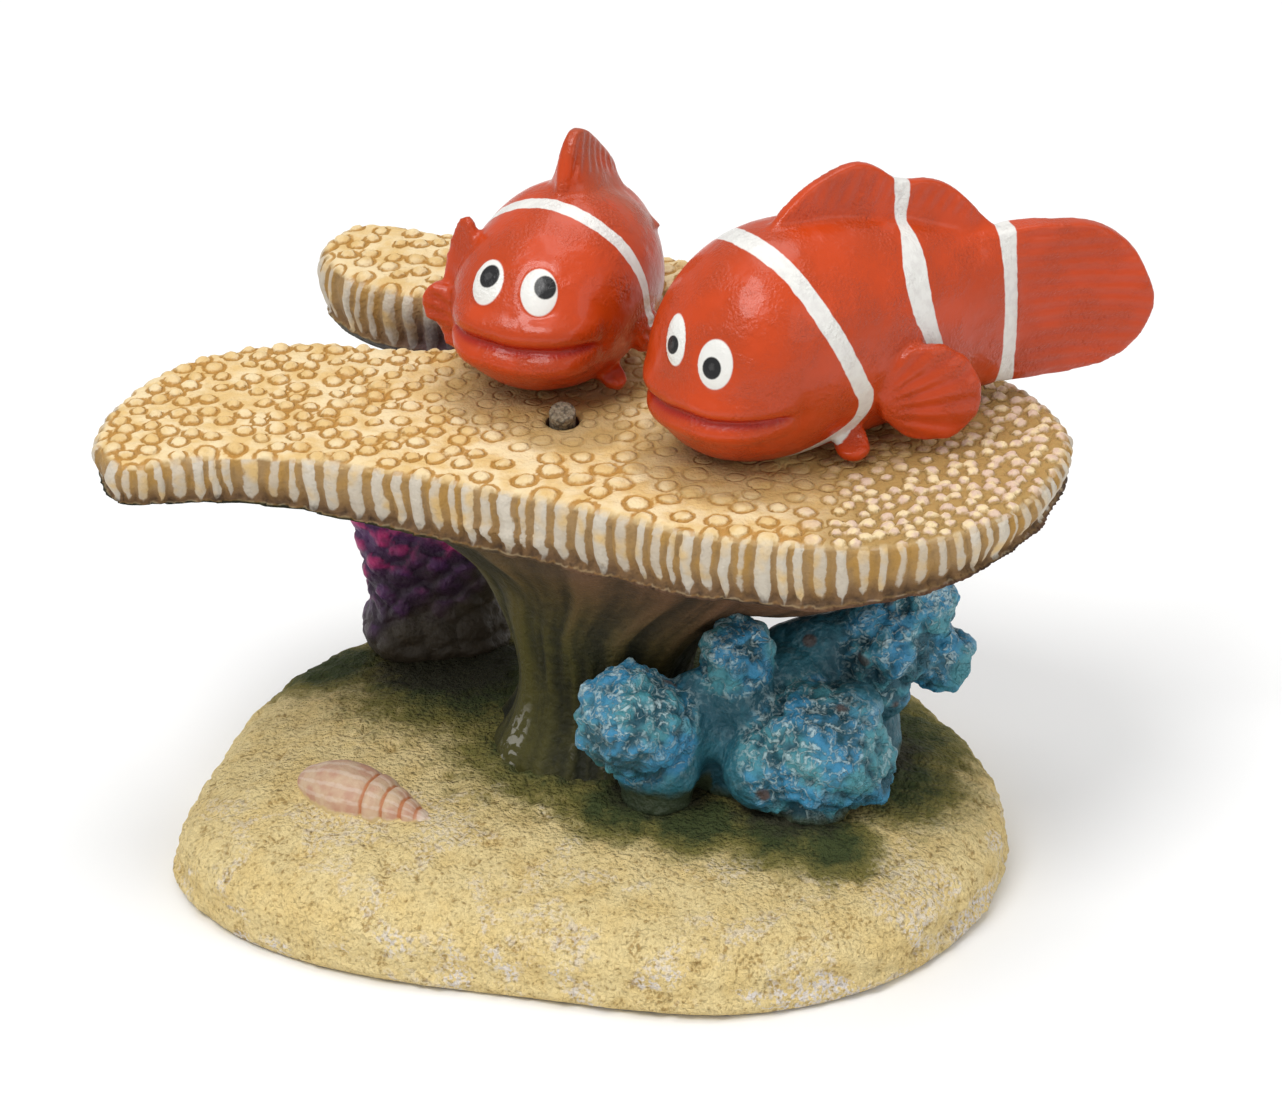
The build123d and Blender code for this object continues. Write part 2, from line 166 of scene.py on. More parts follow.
def ease(value: np.ndarray, low: float, high: float) -> np.ndarray:
    """A smooth step from 0 at low to 1 at high; low may be the larger."""
    share = np.clip((value - low) / (high - low), 0, 1)
    return share * share * (3 - 2 * share)


def bell(value: np.ndarray, width: float) -> np.ndarray:
    """A smooth hump of height 1 around zero."""
    return np.exp(-((value / width) ** 2))


def cap(ratio: np.ndarray) -> np.ndarray:
    """A round dome of height 1, which ends where the ratio is 1."""
    return np.sqrt(np.clip(1 - ratio**2, 0, 1))


def columns(rows: Sequence[Sequence[float]]) -> tuple[np.ndarray, ...]:
    """The columns of some rows of numbers."""
    return tuple(np.array(column, float) for column in zip(*rows))


def patches(points: np.ndarray, spots: Sequence[tuple], sharpness: float) -> np.ndarray:
    """How deep in any of some round patches each point is.

    Args:
        points: an array of places.
        spots: x, y and reach of each patch.
        sharpness: how sudden the patches' edges are.

    Returns:
        One value for each point, 1 in the middle of a patch and 0 far from all.
    """
    total = np.zeros(len(points))
    for x, y, reach in spots:
        away = np.hypot(points[:, 0] - x, points[:, 1] - y) / reach
        total = np.maximum(total, np.exp(-(away**sharpness)))
    return total


def smooth_line(xs: Sequence[float], ys: Sequence[float], at: np.ndarray) -> np.ndarray:
    """A smooth curve through some points.

    Args:
        xs: the points' positions, rising.
        ys: the points' values.
        at: where the curve is wanted.

    Returns:
        The curve's value at each place.
    """
    xs, ys = np.asarray(xs, float), np.asarray(ys, float)
    slopes = np.gradient(ys, xs)
    at = np.clip(at, xs[0], xs[-1])
    index = np.clip(np.searchsorted(xs, at) - 1, 0, len(xs) - 2)
    span = xs[index + 1] - xs[index]
    t = (at - xs[index]) / span
    return (
        (2 * t**3 - 3 * t**2 + 1) * ys[index]
        + (t**3 - 2 * t**2 + t) * span * slopes[index]
        + (3 * t**2 - 2 * t**3) * ys[index + 1]
        + (t**3 - t**2) * span * slopes[index + 1]
    )


class Outline:
    """A smooth closed line in plan, with a length along it."""

    STEP = 0.25

    def __init__(self, corners: Sequence[tuple[float, float]]) -> None:
        """Runs a smooth line through the corners.

        Args:
            corners: x and y of each, in millimetres.
        """
        ring = np.array([*corners[-2:], *corners, *corners[:2]], float)
        chord = np.concatenate([[0], np.cumsum(np.hypot(*np.diff(ring, axis=0).T))])
        wanted = np.arange(chord[2], chord[-2], self.STEP)
        self.points = np.stack([smooth_line(chord, ring[:, k], wanted) for k in (0, 1)], axis=1)
        self.lengths = wanted - chord[2]
        self.nearest = Nearest(self.points)

    def near(self, points: np.ndarray) -> tuple[np.ndarray, np.ndarray]:
        """The distance to the line, and how far along it that is, for each point."""
        index, distance = self.nearest.find(points[:, :2])
        return distance, self.lengths[index]


def scatter(
    rng: np.random.Generator,
    low: Sequence[float],
    high: Sequence[float],
    spacing: Callable[[np.ndarray], np.ndarray],
    darts: int,
) -> np.ndarray:
    """Random places that keep a distance from each other.

    Args:
        rng: the seeded source of the places.
        low: the lowest corner of the region.
        high: the highest corner of the region.
        spacing: gives the least distance around each place.
        darts: how many places are tried.

    Returns:
        The places that were kept.
    """
    tries = rng.uniform(low, high, (darts, len(low)))
    return spread_out(tries, spacing(tries))


def spread_out(tries: np.ndarray, gaps: np.ndarray) -> np.ndarray:
    """Keeps each place that is further than its gap from all those kept before it."""
    kept = np.empty_like(tries)
    count = 0
    for place, gap in zip(tries, gaps):
        if count == 0 or np.min(np.sum((kept[:count] - place) ** 2, axis=1)) > gap * gap:
            kept[count] = place
            count += 1
    return kept[:count]


def strewn(
    points: np.ndarray, seed: int, darts: int, gaps: tuple[float, float]
) -> np.ndarray:
    """Random places on a surface that keep a distance from each other.

    Args:
        points: the surface's vertices.
        seed: what makes one surface's places its own.
        darts: how many vertices are tried.
        gaps: the least and the most distance around a place.

    Returns:
        The places that were kept.
    """
    rng = np.random.default_rng(seed)
    tries = points[rng.permutation(len(points))][:darts]
    return spread_out(tries, rng.uniform(*gaps, len(tries)))


# ---------------------------------------------------------------- meshes


def select_only(obj: bpy.types.Object) -> None:
    """Selects one object and makes it the active one."""
    clear_selection()
    obj.select_set(True)
    bpy.context.view_layer.objects.active = obj


def clear_selection() -> None:
    """Deselects everything, before a new primitive is added."""
    for other in list(bpy.context.selected_objects):
        other.select_set(False)


def primitive(name: str, add: Callable[..., set], **settings: object) -> bpy.types.Object:
    """Adds a primitive, as a start for a piece to be shaped from.

    Args:
        name: the object's name.
        add: the primitive's operator.
        settings: what the operator is told.

    Returns:
        The object.
    """
    clear_selection()
    add(**settings)
    obj = bpy.context.object
    obj.name = name
    return obj


def edit(change: Callable[..., set], **settings: object) -> None:
    """Changes the whole of the active mesh in edit mode.

    Args:
        change: the operator.
        settings: what the operator is told.
    """
    bpy.ops.object.mode_set(mode="EDIT")
    bpy.ops.mesh.select_all(action="SELECT")
    change(**settings)
    bpy.ops.object.mode_set(mode="OBJECT")


def corners(obj: bpy.types.Object) -> np.ndarray:
    """A mesh's vertices as they are."""
    flat = np.zeros(len(obj.data.vertices) * 3)
    obj.data.vertices.foreach_get("co", flat)
    return flat.reshape(-1, 3)


def reshape(obj: bpy.types.Object, points: np.ndarray) -> None:
    """Moves a mesh's vertices."""
    obj.data.vertices.foreach_set("co", points.ravel())
    obj.data.update()


def places(obj: bpy.types.Object) -> np.ndarray:
    """A mesh's vertices, in millimetres from the mound's centre."""
    return corners(obj) / MM - MOULD_CENTRE


def put(obj: bpy.types.Object, points: np.ndarray) -> None:
    """Moves a mesh's vertices to places in millimetres from the mound's centre."""
    reshape(obj, (points + MOULD_CENTRE) * MM)


def outward(obj: bpy.types.Object) -> np.ndarray:
    """A mesh's vertex normals."""
    flat = np.zeros(len(obj.data.vertices) * 3)
    obj.data.vertex_normals.foreach_get("vector", flat)
    return flat.reshape(-1, 3)


def note(obj: bpy.types.Object, name: str, values: np.ndarray) -> None:
    """Stores a number on each vertex for the paint to read."""
    layer = obj.data.attributes.new(name, "FLOAT", "POINT")
    layer.data.foreach_set("value", values.astype(np.float32).ravel())


def apply(obj: bpy.types.Object, kind: str, **settings: object) -> None:
    """Adds a modifier and applies it.

    Args:
        obj: the mesh object.
        kind: the modifier's type.
        settings: its properties.
    """
    select_only(obj)
    modifier = obj.modifiers.new(kind.lower(), kind)
    for key, value in settings.items():
        setattr(modifier, key, value)
    bpy.ops.object.modifier_apply(modifier=modifier.name)


def remesh(obj: bpy.types.Object, voxel: float, smoothing: int) -> None:
    """Makes one closed even skin of a mesh.

    Args:
        obj: the mesh object.
        voxel: the skin's cell, in millimetres.
        smoothing: how many times the steps between cells are smoothed.
    """
    apply(obj, "REMESH", mode="VOXEL", voxel_size=voxel * MM)
    apply(obj, "SMOOTH", factor=0.5, iterations=smoothing)
    shade(obj)


def shade(obj: bpy.types.Object) -> None:
    """Shades all of a mesh smooth."""
    obj.data.polygons.foreach_set("use_smooth", np.ones(len(obj.data.polygons), bool))
    obj.data.update()


def join(parts: Sequence[bpy.types.Object], name: str) -> bpy.types.Object:
    """Joins some objects into the first and names it."""
    select_only(parts[0])
    for part in parts[1:]:
        part.select_set(True)
    bpy.ops.object.join()
    parts[0].name = parts[0].data.name = name
    return parts[0]


def casting_copy(node: str, name: str) -> bpy.types.Object:
    """A new object with a merged copy of a CAD node's mesh."""
    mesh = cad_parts[node].data.copy()
    obj = bpy.data.objects.new(name, mesh)
    bpy.context.scene.collection.objects.link(obj)
    mesh.materials.clear()
    select_only(obj)
    edit(bpy.ops.mesh.remove_doubles, threshold=1e-6)
    return obj


def ball(name: str, segments: int, rings: int) -> bpy.types.Object:
    """A unit ball whose poles lie along X, as a start for a body to be shaped from."""
    add = bpy.ops.mesh.primitive_uv_sphere_add
    obj = primitive(name, add, segments=segments, ring_count=rings, radius=1)
    quarter = math.pi / 2
    edit(bpy.ops.transform.rotate, value=quarter, orient_axis="Y", center_override=(0, 0, 0))
    return obj


def blade(
    name: str, across: int, along: int, form: Callable[[np.ndarray, np.ndarray], tuple]
) -> bpy.types.Object:
    """A thin closed fin, shaped from an extruded grid.

    Args:
        name: the object's name.
        across: the grid's cells one way.
        along: its cells the other way.
        form: gives the fin's middle, its normal and half its thickness, from two
            arrays of numbers between -1 and 1.

    Returns:
        The fin, in millimetres in a fish's own places.
    """
    add = bpy.ops.mesh.primitive_grid_add
    obj = primitive(name, add, x_subdivisions=across, y_subdivisions=along, size=2)
    edit(bpy.ops.mesh.extrude_region_move, TRANSFORM_OT_translate={"value": (0, 0, 1)})
    both = corners(obj)
    side = np.where(both[:, 2] > 0.5, 1.0, -1.0)
    middle, normal, half = form(both[:, 0], both[:, 1])
    reshape(obj, middle + normal * (side * half)[:, None])
    select_only(obj)
    edit(bpy.ops.mesh.normals_make_consistent, inside=False)
    return obj


# ---------------------------------------------------------------- shader maths


class Value:
    """A socket of a shader; the usual operators on it add Math nodes."""

    def __init__(self, shader: "Shader", socket: bpy.types.NodeSocket) -> None:
        """Keeps the socket and its shader."""
        self.shader, self.socket = shader, socket

    def __add__(self, other: "Value | float") -> "Value":
        """self + other."""
        return self.shader.math("ADD", self, other)

    __radd__ = __add__

    def __sub__(self, other: "Value | float") -> "Value":
        """self - other."""
        return self.shader.math("SUBTRACT", self, other)

    def __rsub__(self, other: "Value | float") -> "Value":
        """other - self."""
        return self.shader.math("SUBTRACT", other, self)

    def __mul__(self, other: "Value | float") -> "Value":
        """self * other."""
        return self.shader.math("MULTIPLY", self, other)

    __rmul__ = __mul__

    def __truediv__(self, other: "Value | float") -> "Value":
        """self / other."""
        return self.shader.math("DIVIDE", self, other)

    def __abs__(self) -> "Value":
        """The size of self."""
        return self.shader.math("ABSOLUTE", self, 0.0)

    def least(self, other: "Value | float") -> "Value":
        """The smaller of two."""
        return self.shader.math("MINIMUM", self, other)

    def most(self, other: "Value | float") -> "Value":
        """The larger of two."""
        return self.shader.math("MAXIMUM", self, other)

    def step(self, low: float, high: float) -> "Value":
        """A smooth step from 0 at low to 1 at high; low may be the larger."""
        flip = low > high
        node = self.shader.node(
            "ShaderNodeMapRange",
            {"interpolation_type": "SMOOTHSTEP"},
            {
                "Value": self,
                "From Min": min(low, high),
                "From Max": max(low, high),
                "To Min": 1.0 if flip else 0.0,
                "To Max": 0.0 if flip else 1.0,
            },
        )
        return Value(self.shader, node.outputs["Result"])


Colour = tuple[float, float, float]
# the colour sockets of a Mix node: its share and its two colours, and its result
MIX_SOCKETS = (0, 6, 7)
MIX_RESULT = 2


class Shader:
    """Builds one material's nodes."""

    def __init__(self, name: str) -> None:
        """Starts an empty material.

        Args:
            name: the material's name.
        """
        self.material = bpy.data.materials.new(name)
        self.material.use_nodes = True
        self.tree = self.material.node_tree
        self.tree.nodes.clear()

    def node(self, kind: str, settings: dict, inputs: dict) -> bpy.types.Node:
        """Adds any node.

        Args:
            kind: the node's type.
            settings: its properties, which are set first.
            inputs: values or links for its sockets, by name or number.

        Returns:
            The node.
        """
        node = self.tree.nodes.new(kind)
        for key, value in settings.items():
            setattr(node, key, value)
        for key, value in inputs.items():
            socket = node.inputs[key]
            if isinstance(value, Value):
                self.tree.links.new(value.socket, socket)
            elif isinstance(value, tuple) and len(value) == 3 and socket.type == "RGBA":
                socket.default_value = (*value, 1.0)
            else:
                socket.default_value = value
        return node

    def math(self, operation: str, first: "Value | float", second: "Value | float") -> Value:
        """A Math node's result."""
        node = self.node("ShaderNodeMath", {"operation": operation}, {0: first, 1: second})
        return Value(self, node.outputs[0])

    def number(self, name: str) -> Value:
        """A number noted on the vertices."""
        node = self.node("ShaderNodeAttribute", {"attribute_name": name}, {})
        return Value(self, node.outputs["Fac"])

    def frayed(self, name: str, size: float, detail: float, amount: float) -> Value:
        """A noted number whose edges are frayed by noise.

        Args:
            name: the number's name.
            size: the width of the noise's largest patches, in millimetres.
            detail: how many finer layers the noise has.
            amount: how far it frays the number.

        Returns:
            The number.
        """
        return self.number(name) + (self.noise(size, detail) - 0.5) * amount

    def place(self) -> Value:
        """The place on the object, in metres."""
        return Value(self, self.node("ShaderNodeTexCoord", {}, {}).outputs["Object"])

    def noise(self, size: float, detail: float = 2.0, twist: float = 0.0) -> Value:
        """Cloudy noise around 0.5.

        Args:
            size: the width of its largest patches, in millimetres.
            detail: how many finer layers it has.
            twist: how far it is distorted.

        Returns:
            The noise.
        """
        inputs = {"Vector": self.place(), "Scale": 1 / (size * MM)}
        inputs |= {"Detail": detail, "Distortion": twist}
        return Value(self, self.node("ShaderNodeTexNoise", {}, inputs).outputs["Fac"])

    def cells(self, size: float) -> Value:
        """The distance to the middle of random cells of about that size."""
        inputs = {"Vector": self.place(), "Scale": 1 / (size * MM)}
        node = self.node("ShaderNodeTexVoronoi", {"feature": "F1"}, inputs)
        return Value(self, node.outputs["Distance"])

    def mix(
        self, share: "Value | float", first: "Value | Colour", second: "Value | Colour"
    ) -> Value:
        """A colour between two, by a share that is kept between 0 and 1."""
        inputs = dict(zip(MIX_SOCKETS, (share, first, second)))
        node = self.node("ShaderNodeMix", {"data_type": "RGBA"}, inputs)
        return Value(self, node.outputs[MIX_RESULT])

    def bump(self, height: Value, depth: float) -> Value:
        """A normal bent by a height between 0 and 1 that is depth millimetres deep."""
        inputs = {"Height": height, "Distance": depth * MM, "Strength": 1.0}
        return Value(self, self.node("ShaderNodeBump", {}, inputs).outputs["Normal"])

    def surface(self, **sockets: object) -> bpy.types.Material:
        """Ends the material with a Principled shader.

        Args:
            sockets: the shader's sockets, with _ for a space in their names.

        Returns:
            The material.
        """
        inputs = {key.replace("_", " "): value for key, value in sockets.items()}
        shader = self.node("ShaderNodeBsdfPrincipled", {}, inputs)
        self.node("ShaderNodeOutputMaterial", {}, {"Surface": Value(self, shader.outputs[0])})
        return self.material


# ---------------------------------------------------------------- finishes


@dataclass(frozen=True)
class SandPaint:
    """Pale sand-textured resin, air-brushed olive green around what grows on it, with near-black
    painted shade at the feet of the stalk and the corals.
    """

    pale: Colour = (0.84, 0.67, 0.33)
    warm: Colour = (0.77, 0.56, 0.22)
    speck: Colour = (0.36, 0.215, 0.060)
    bleached: Colour = (0.80, 0.74, 0.70)
    olive: Colour = (0.165, 0.150, 0.030)
    bottle: Colour = (0.030, 0.055, 0.018)
    # near-black painted shade at the feet of the stalk and the corals
    painted_shade: Colour = (0.040, 0.036, 0.022)

    def build(self) -> bpy.types.Material:
        """Makes the material."""
        s = Shader("sand_paint")
        speckle = s.noise(1.0, 4.0)
        fine = s.noise(0.55, 2.0)
        grains = s.cells(0.9)
        colour = s.mix(s.noise(5.0, 3.0).step(0.35, 0.7) * 0.6, self.pale, self.warm)
        specks = (s.number("pit") * 0.10 + fine * 0.65 + speckle * 0.5).step(0.60, 0.80)
        colour = s.mix(specks * 0.75, colour, self.speck)
        patches = s.noise(9.0, 4.0, 0.7).step(0.50, 0.60)
        white = patches * (speckle * 0.5 + (1.0 - fine) * 0.5).step(0.46, 0.56) * s.number("wall")
        colour = s.mix(white * 0.9, colour, self.bleached)
        moss = s.frayed("moss", 2.6, 6.0, 0.75) + (fine - 0.5) * 0.35
        colour = s.mix(moss.step(0.10, 0.72) * 0.92, colour, self.olive)
        colour = s.mix(moss.step(0.62, 1.10) * 0.85, colour, self.bottle)
        # painted shade: near black at the feet of the stalk and the corals, where they shade the
        # sand
        painted_shade = s.frayed("painted_shade", 2.0, 5.0, 0.8)
        colour = s.mix(painted_shade.step(0.45, 0.95) * 0.85, colour, self.painted_shade)
        height = speckle * 0.9 + fine * 0.9 - grains * 0.5
        return s.surface(
            Base_Color=colour,
            Roughness=0.86 - speckle * 0.15,
            Normal=s.bump(height, 1.0),
            Specular_IOR_Level=0.25,
        )


@dataclass(frozen=True)
class TableCoralPaint:
    """Cream polyps in ochre rings, whitened ribs on the rim, and a dark streaked stalk."""

    cream: Colour = (0.70, 0.48, 0.20)
    light: Colour = (0.80, 0.64, 0.38)
    ochre: Colour = (0.46, 0.22, 0.035)
    tan: Colour = (0.42, 0.26, 0.085)
    rosy: Colour = (0.68, 0.50, 0.38)
    chalk: Colour = (0.60, 0.545, 0.455)
    rib: Colour = (0.33, 0.205, 0.085)
    amber: Colour = (0.40, 0.225, 0.055)
    umber: Colour = (0.050, 0.028, 0.014)
    earth: Colour = (0.135, 0.066, 0.032)
    olive: Colour = (0.070, 0.064, 0.013)
    moss: Colour = (0.014, 0.015, 0.005)
    frost: Colour = (0.36, 0.35, 0.30)
    # dark violet painted shade in the gap under the back tier, above the plate's back edge
    violet: Colour = (0.06, 0.035, 0.06)

    def top_colour(self, s: Shader) -> Value:
        """The upper face: polyps, their moats and the tan seats of the fish."""
        ratio, right = s.number("polyp"), s.number("right")
        fine = s.noise(0.7, 3.0)
        base = s.mix(s.noise(4.0, 3.0).step(0.35, 0.65), self.cream, self.light)
        moat = (1.0 - abs(ratio - 1.28 + (fine - 0.5) * 0.45) / 0.42).most(0.0)
        moat = moat * s.noise(6.0, 2.0).step(0.15, 0.50) * (1.0 - s.number("seat") * 0.75)
        moat = moat.step(0.05, 0.60)
        colour = s.mix(moat * 0.9, base, self.ochre)
        crown = s.mix(s.noise(1.8, 2.0).step(0.42, 0.58), self.rosy, self.light)
        mottled = s.mix((ratio + (fine - 0.5) * 0.7).step(1.25, 0.75), self.tan, crown)
        colour = s.mix(right, colour, mottled)
        seat = s.frayed("seat", 3.0, 3.0, 0.6)
        return s.mix(seat.step(0.30, 0.85) * 0.75, colour, self.tan)

    def rim_colour(self, s: Shader) -> Value:
        """The ribbed edge: chalk on the ribs, amber between them, umber underneath."""
        crest, drop, tone = s.number("rib"), s.number("drop"), s.number("tone")
        brush = s.noise(1.3, 5.0) - 0.5
        ground = s.mix((s.noise(5.0, 3.0) + tone * 0.3).step(0.45, 0.8), self.amber, self.rib)
        ground = s.mix(drop.step(0.45, 0.95) * 0.7, ground, self.earth)
        white = s.mix(s.noise(4.0, 2.0).step(0.45, 0.75), self.chalk, self.cream)
        cover = crest - 0.93 + tone * 0.42 + brush * 0.5 - drop.step(0.72, 1.05) * 0.5
        colour = s.mix(cover.step(-0.06, 0.10) * (0.55 + tone * 0.4), ground, white)
        colour = s.mix(drop.step(0.12, -0.05) * 0.7, colour, self.light)
        return s.mix((drop + brush * 0.5).step(0.82, 1.08) * 0.85, colour, self.umber)

    def stalk_colour(self, s: Shader) -> Value:
        """The underside and the stalk: brown with dark streaks, olive towards the foot."""
        streak = s.frayed("streak", 2.0, 4.0, 0.35)
        brown = s.mix(streak.step(0.25, 0.75), self.umber, self.earth)
        green = s.mix(streak.step(0.30, 0.75), self.moss, self.olive)
        colour = s.mix(s.number("green"), brown, green)
        scratch = s.number("scratch") * (s.noise(1.2, 4.0, 0.5)).step(0.50, 0.60)
        return s.mix(scratch * 0.7, colour, self.frost)

    def build(self) -> bpy.types.Material:
        """Makes the material."""
        s = Shader("table_coral_paint")
        colour = s.mix(s.number("rim").step(0.25, 0.75), self.top_colour(s), self.rim_colour(s))
        colour = s.mix(s.number("under").step(0.3, 0.7), colour, self.stalk_colour(s))
        # painted shade: dark violet in the gap between the back tier and the plate
        colour = s.mix(s.number("gap_shade") * 0.85, colour, self.violet)
        fine = s.noise(0.8, 4.0)
        ratio = s.number("polyp")
        ring = (1.0 - abs(ratio - 1.22) / 0.30).most(0.0)
        ring = ring * (1.0 - s.number("rim")) * s.number("top")
        return s.surface(
            Base_Color=colour,
            Roughness=0.52 + fine * 0.22,
            Normal=s.bump(fine - ring * 0.6, 0.40),
            Specular_IOR_Level=0.3,
        )


@dataclass(frozen=True)
class Band:
    """One white band of a clownfish, from its foot up."""

    # height, distance from the snout, half width
    course: tuple[tuple[float, float, float], ...]

    def inside(self, own: np.ndarray) -> np.ndarray:
        """How far inside the band's edges each place is, in millimetres; negative outside."""
        heights, distances, halves = columns(self.course)
        z, step = own[:, 2], 0.2
        centre = smooth_line(heights, distances, z)
        rise = smooth_line(heights, distances, z + step) - smooth_line(heights, distances, z - step)
        steep = np.hypot(1, rise / (2 * step))
        return smooth_line(heights, halves, z) - np.abs(own[:, 0] - centre) / steep


@dataclass(frozen=True)
class Eye:
    """A painted eye on a low dome: its middle, half sizes, lean, and its pupil."""

    middle: tuple[float, float, float]
    half: tuple[float, float]
    pupil: tuple[float, float]
    pupil_radius: float
    head: tuple[float, float]
    lean: float = 0.0
    depth: float = 4.5

    def flat(self, own: np.ndarray) -> tuple[np.ndarray, np.ndarray, np.ndarray]:
        """Each place along the eye, up the eye, and out of the head."""
        out = np.array(self.middle) - np.array((self.head[0], 0.0, self.head[1]))
        out /= np.linalg.norm(out)
        level = np.cross((0.0, 0.0, 1.0), out)
        level /= np.linalg.norm(level)
        up = np.cross(out, level)
        tilt = math.radians(self.lean)
        offset = own - np.array(self.middle)
        along, over = offset @ level, offset @ up
        return (
            along * math.cos(tilt) - over * math.sin(tilt),
            along * math.sin(tilt) + over * math.cos(tilt),
            offset @ out,
        )

    def reach(self, own: np.ndarray) -> np.ndarray:
        """How far out each place is, where 1 is the eye's rim."""
        along, over, out = self.flat(own)
        return self.shown(np.hypot(along / self.half[0], over / self.half[1]), out)

    def pupil_reach(self, own: np.ndarray) -> np.ndarray:
        """The same for the pupil."""
        along, over, out = self.flat(own)
        reach = np.hypot(along - self.pupil[0], (over - self.pupil[1]) * 0.9)
        return self.shown(reach / self.pupil_radius, out)

    def shown(self, reach: np.ndarray, out: np.ndarray) -> np.ndarray:
        """A reach, cut off far from the eye and behind the head."""
        return np.where(np.abs(out) < self.depth, np.minimum(reach, FAR), FAR)


@dataclass(frozen=True)
class FishPaint:
    """Glossy orange-red paint with hand-painted white bands and eyes."""

    name: str
    dulled: float = 0.0
    orange: Colour = (0.54, 0.050, 0.003)
    red: Colour = (0.38, 0.012, 0.002)
    tawny: Colour = (0.45, 0.044, 0.003)
    clay: Colour = (0.34, 0.075, 0.030)
    white: Colour = (0.76, 0.75, 0.71)
    shadow: Colour = (0.69, 0.67, 0.64)
    ink: Colour = (0.010, 0.010, 0.011)
    # the painted highlight in the pupils
    glint_grey: Colour = (0.06, 0.06, 0.06)

    def build(self) -> bpy.types.Material:
        """Makes the material."""
        s = Shader(self.name)
        colour = s.mix(s.noise(10.0, 3.0).step(0.35, 0.65), self.orange, self.tawny)
        # a duller clay colour in patches towards the tail, as far as the fish is dulled
        duller_towards_tail = s.number("far") * s.noise(7.0, 4.0).step(0.35, 0.6) * self.dulled
        colour = s.mix(duller_towards_tail, colour, self.clay)
        # painted shade: darker red in the mouth groove and in the creases between fin rays
        colour = s.mix(s.number("recess_shade").step(0.15, 0.8) * 0.9, colour, self.red)
        rough = s.noise(1.8, 3.0) - 0.5
        streaky = s.mix(s.noise(1.3, 3.0).step(0.3, 0.6), self.shadow, self.white)
        band = (s.number("band") + rough * 0.5).step(-0.10, 0.14)
        colour = s.mix(band, colour, streaky)
        colour = s.mix(s.number("eye").step(1.04, 0.95), colour, self.white)
        pupil = s.number("pupil")
        colour = s.mix(pupil.step(1.08, 0.92), colour, self.ink)
        # painted highlight: a grey glint in the middle of each pupil
        colour = s.mix((pupil + rough * 0.8).step(0.42, 0.20) * 0.6, colour, self.glint_grey)
        peel = s.noise(0.5, 2.0) * s.noise(5.0, 2.0).step(0.35, 0.7)
        soft = s.noise(3.0, 3.0)
        return s.surface(
            Base_Color=colour,
            Roughness=0.26 + soft * 0.16,
            Normal=s.bump(peel * 1.4 + soft * 0.8, 0.24),
            Coat_Weight=0.25,
            Coat_Roughness=0.10,
            Specular_IOR_Level=0.30,
        )


@dataclass(frozen=True)
class BlueCoralPaint:
    """Teal and blue lumps with white dry-brushed on their ridges, heavier on the faces turned to
    the key light as painted light, and a dark olive foot as painted shade.
    """

    deep: Colour = (0.014, 0.085, 0.120)
    blue: Colour = (0.036, 0.240, 0.430)
    teal: Colour = (0.066, 0.275, 0.330)
    web: Colour = (0.026, 0.150, 0.200)
    frost: Colour = (0.55, 0.72, 0.74)
    olive: Colour = (0.045, 0.055, 0.018)
    rust: Colour = (0.13, 0.06, 0.035)

    def build(self) -> bpy.types.Material:
        """Makes the material."""
        s = Shader("blue_coral_paint")
        crest, lumpy = s.number("crest"), s.number("lumpy")
        body = s.mix(s.noise(8.0, 3.0).step(0.44, 0.60), self.teal, self.blue)
        body = s.mix(lumpy.step(0.6, 0.1), body, self.web)
        fine = s.noise(0.8, 5.0)
        colour = s.mix((crest + (s.noise(1.3, 4.0) - 0.5) * 0.9).step(0.0, 0.55), self.deep, body)
        veins = abs(s.noise(1.9, 5.0, 0.6) - 0.5).step(0.075, 0.015)
        veins = veins * s.noise(0.7, 3.0).step(0.36, 0.56)
        # the white dry-brush is real paint, weighted onto faces turned up and to the left front,
        # towards the key light: painted light
        frost_on_lit_side = (s.number("lit") + s.noise(4.0, 3.0) * 0.9).step(0.42, 0.95)
        dabs = (crest * 0.6 + fine * 0.9).step(0.86, 1.12)
        frost = (veins * 0.85 + dabs * 0.7).least(1.0) * frost_on_lit_side * (0.15 + lumpy * 0.85)
        colour = s.mix(frost * 0.85, colour, self.frost)
        spots = s.cells(9.0).step(0.16, 0.10)
        colour = s.mix(spots * 0.7, colour, self.rust)
        # painted shade: the foot darkened to the dark olive of the moss, where it meets the sand in
        # shade
        foot = s.frayed("foot", 2.5, 4.0, 0.6)
        colour = s.mix(foot.step(0.35, 0.9) * 0.92, colour, self.olive)
        return s.surface(
            Base_Color=colour,
            Roughness=0.38 + fine * 0.25,
            Normal=s.bump(fine + veins * lumpy * 0.5, 0.5),
            Specular_IOR_Level=0.45,
        )


@dataclass(frozen=True)
class PurpleCoralPaint:
    """Magenta crests on purple lumps, fading to a dark brown painted shade at the foot."""

    magenta: Colour = (0.60, 0.024, 0.190)
    purple: Colour = (0.100, 0.026, 0.130)
    plum: Colour = (0.036, 0.015, 0.040)
    foot_shade: Colour = (0.062, 0.046, 0.028)

    def build(self) -> bpy.types.Material:
        """Makes the material."""
        s = Shader("purple_coral_paint")
        rise = s.frayed("rise", 6.0, 4.0, 0.6)
        ridge = s.frayed("ridge", 1.6, 4.0, 0.6)
        hot = s.mix((rise + (s.noise(4.0, 2.0) - 0.5)).step(0.35, 0.95), self.purple, self.magenta)
        cool = s.mix(rise.step(0.4, 1.0), self.plum, self.purple)
        colour = s.mix(ridge.step(0.25, 0.75), cool, hot)
        # painted shade: dark brown at the foot, where the coral meets the sand
        colour = s.mix(rise.step(0.42, 0.12), colour, self.foot_shade)
        fine = s.noise(0.9, 4.0)
        return s.surface(
            Base_Color=colour,
            Roughness=0.42 + fine * 0.2,
            Normal=s.bump(fine, 0.4),
            Specular_IOR_Level=0.45,
        )


